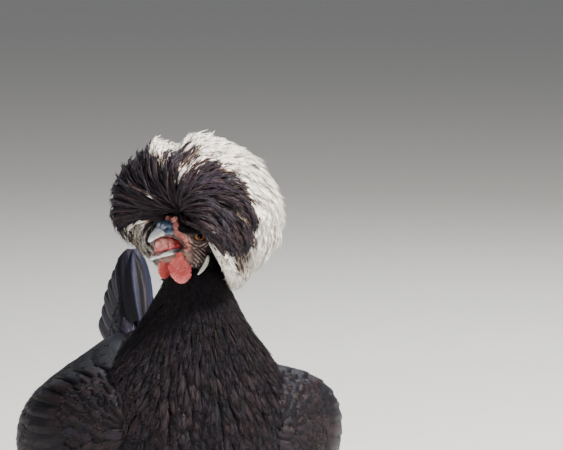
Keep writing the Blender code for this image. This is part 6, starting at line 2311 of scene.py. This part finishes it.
FLOOR_HALF = 60.0
VIEW_AZIMUTH = math.radians(-15.0)
VIEW_ELEVATION = math.radians(8.0)
VIEW_DISTANCE = 1.9
FRAME_WIDE, FRAME_HIGH = 563.0, 450.0
METRES_PER_PIXEL = 0.00084
CREST_MIDDLE = (0.0, -92.0, 397.0)
CREST_MIDDLE_PIXEL = (197.0, 205.0)
SENSOR_WIDE = 36.0


def make_floor():
    mesh = bpy.data.meshes.new("floor")
    h = FLOOR_HALF
    mesh.from_pydata([(-h, -h, 0), (h, -h, 0), (h, h, 0), (-h, h, 0)], [], [(0, 1, 2, 3)])
    floor = bpy.data.objects.new("floor", mesh)
    floor.data.materials.append(LOOKS["floor"])
    bpy.context.scene.collection.objects.link(floor)


def make_camera():
    az, el = VIEW_AZIMUTH, VIEW_ELEVATION
    right = np.array((math.cos(az), math.sin(az), 0.0))
    back = np.array((math.sin(az) * math.cos(el), -math.cos(az) * math.cos(el), math.sin(el)))
    up = np.cross(back, right)
    middle = (np.array(CREST_MIDDLE) + SHIFT) * MM
    across = (CREST_MIDDLE_PIXEL[0] - FRAME_WIDE / 2) * METRES_PER_PIXEL
    down = (CREST_MIDDLE_PIXEL[1] - FRAME_HIGH / 2) * METRES_PER_PIXEL
    aim = middle - right * across + up * down
    data = bpy.data.cameras.new("camera")
    data.sensor_width = SENSOR_WIDE
    data.lens = SENSOR_WIDE * VIEW_DISTANCE / (FRAME_WIDE * METRES_PER_PIXEL)
    data.clip_start = 0.05
    camera = bpy.data.objects.new("camera", data)
    camera.location = Vector(aim + back * VIEW_DISTANCE)
    camera.rotation_euler = Vector(-back).to_track_quat("-Z", "Y").to_euler()
    bpy.context.scene.collection.objects.link(camera)
    bpy.context.scene.camera = camera


def make_lights():
    """Soft studio light: a large key high at the camera's right, a fill at its left, and a rim behind."""
    aim = Vector((0.0, -0.05, 0.25))
    for name, place, size, watts, colour in (
        ("key", (1.1, -1.5, 2.0), 0.45, 300.0, (1.0, 0.96, 0.90)),
        ("fill", (-1.8, -1.3, 0.9), 1.6, 24.0, (0.90, 0.94, 1.0)),
        ("rim", (0.9, 1.4, 1.7), 1.0, 26.0, (0.86, 0.93, 1.0)),
    ):
        data = bpy.data.lights.new(name, "AREA")
        data.shape = "DISK"
        data.size = size
        data.energy = watts
        data.color = colour
        light = bpy.data.objects.new(name, data)
        light.location = place
        light.rotation_euler = (aim - Vector(place)).to_track_quat("-Z", "Y").to_euler()
        bpy.context.scene.collection.objects.link(light)
    world = bpy.data.worlds.new("studio")
    world.use_nodes = True
    world.node_tree.nodes["Background"].inputs["Color"].default_value = (0.90, 0.92, 0.95, 1.0)
    world.node_tree.nodes["Background"].inputs["Strength"].default_value = 0.28
    bpy.context.scene.world = world


make_floor()
make_camera()
make_lights()
make_hen()
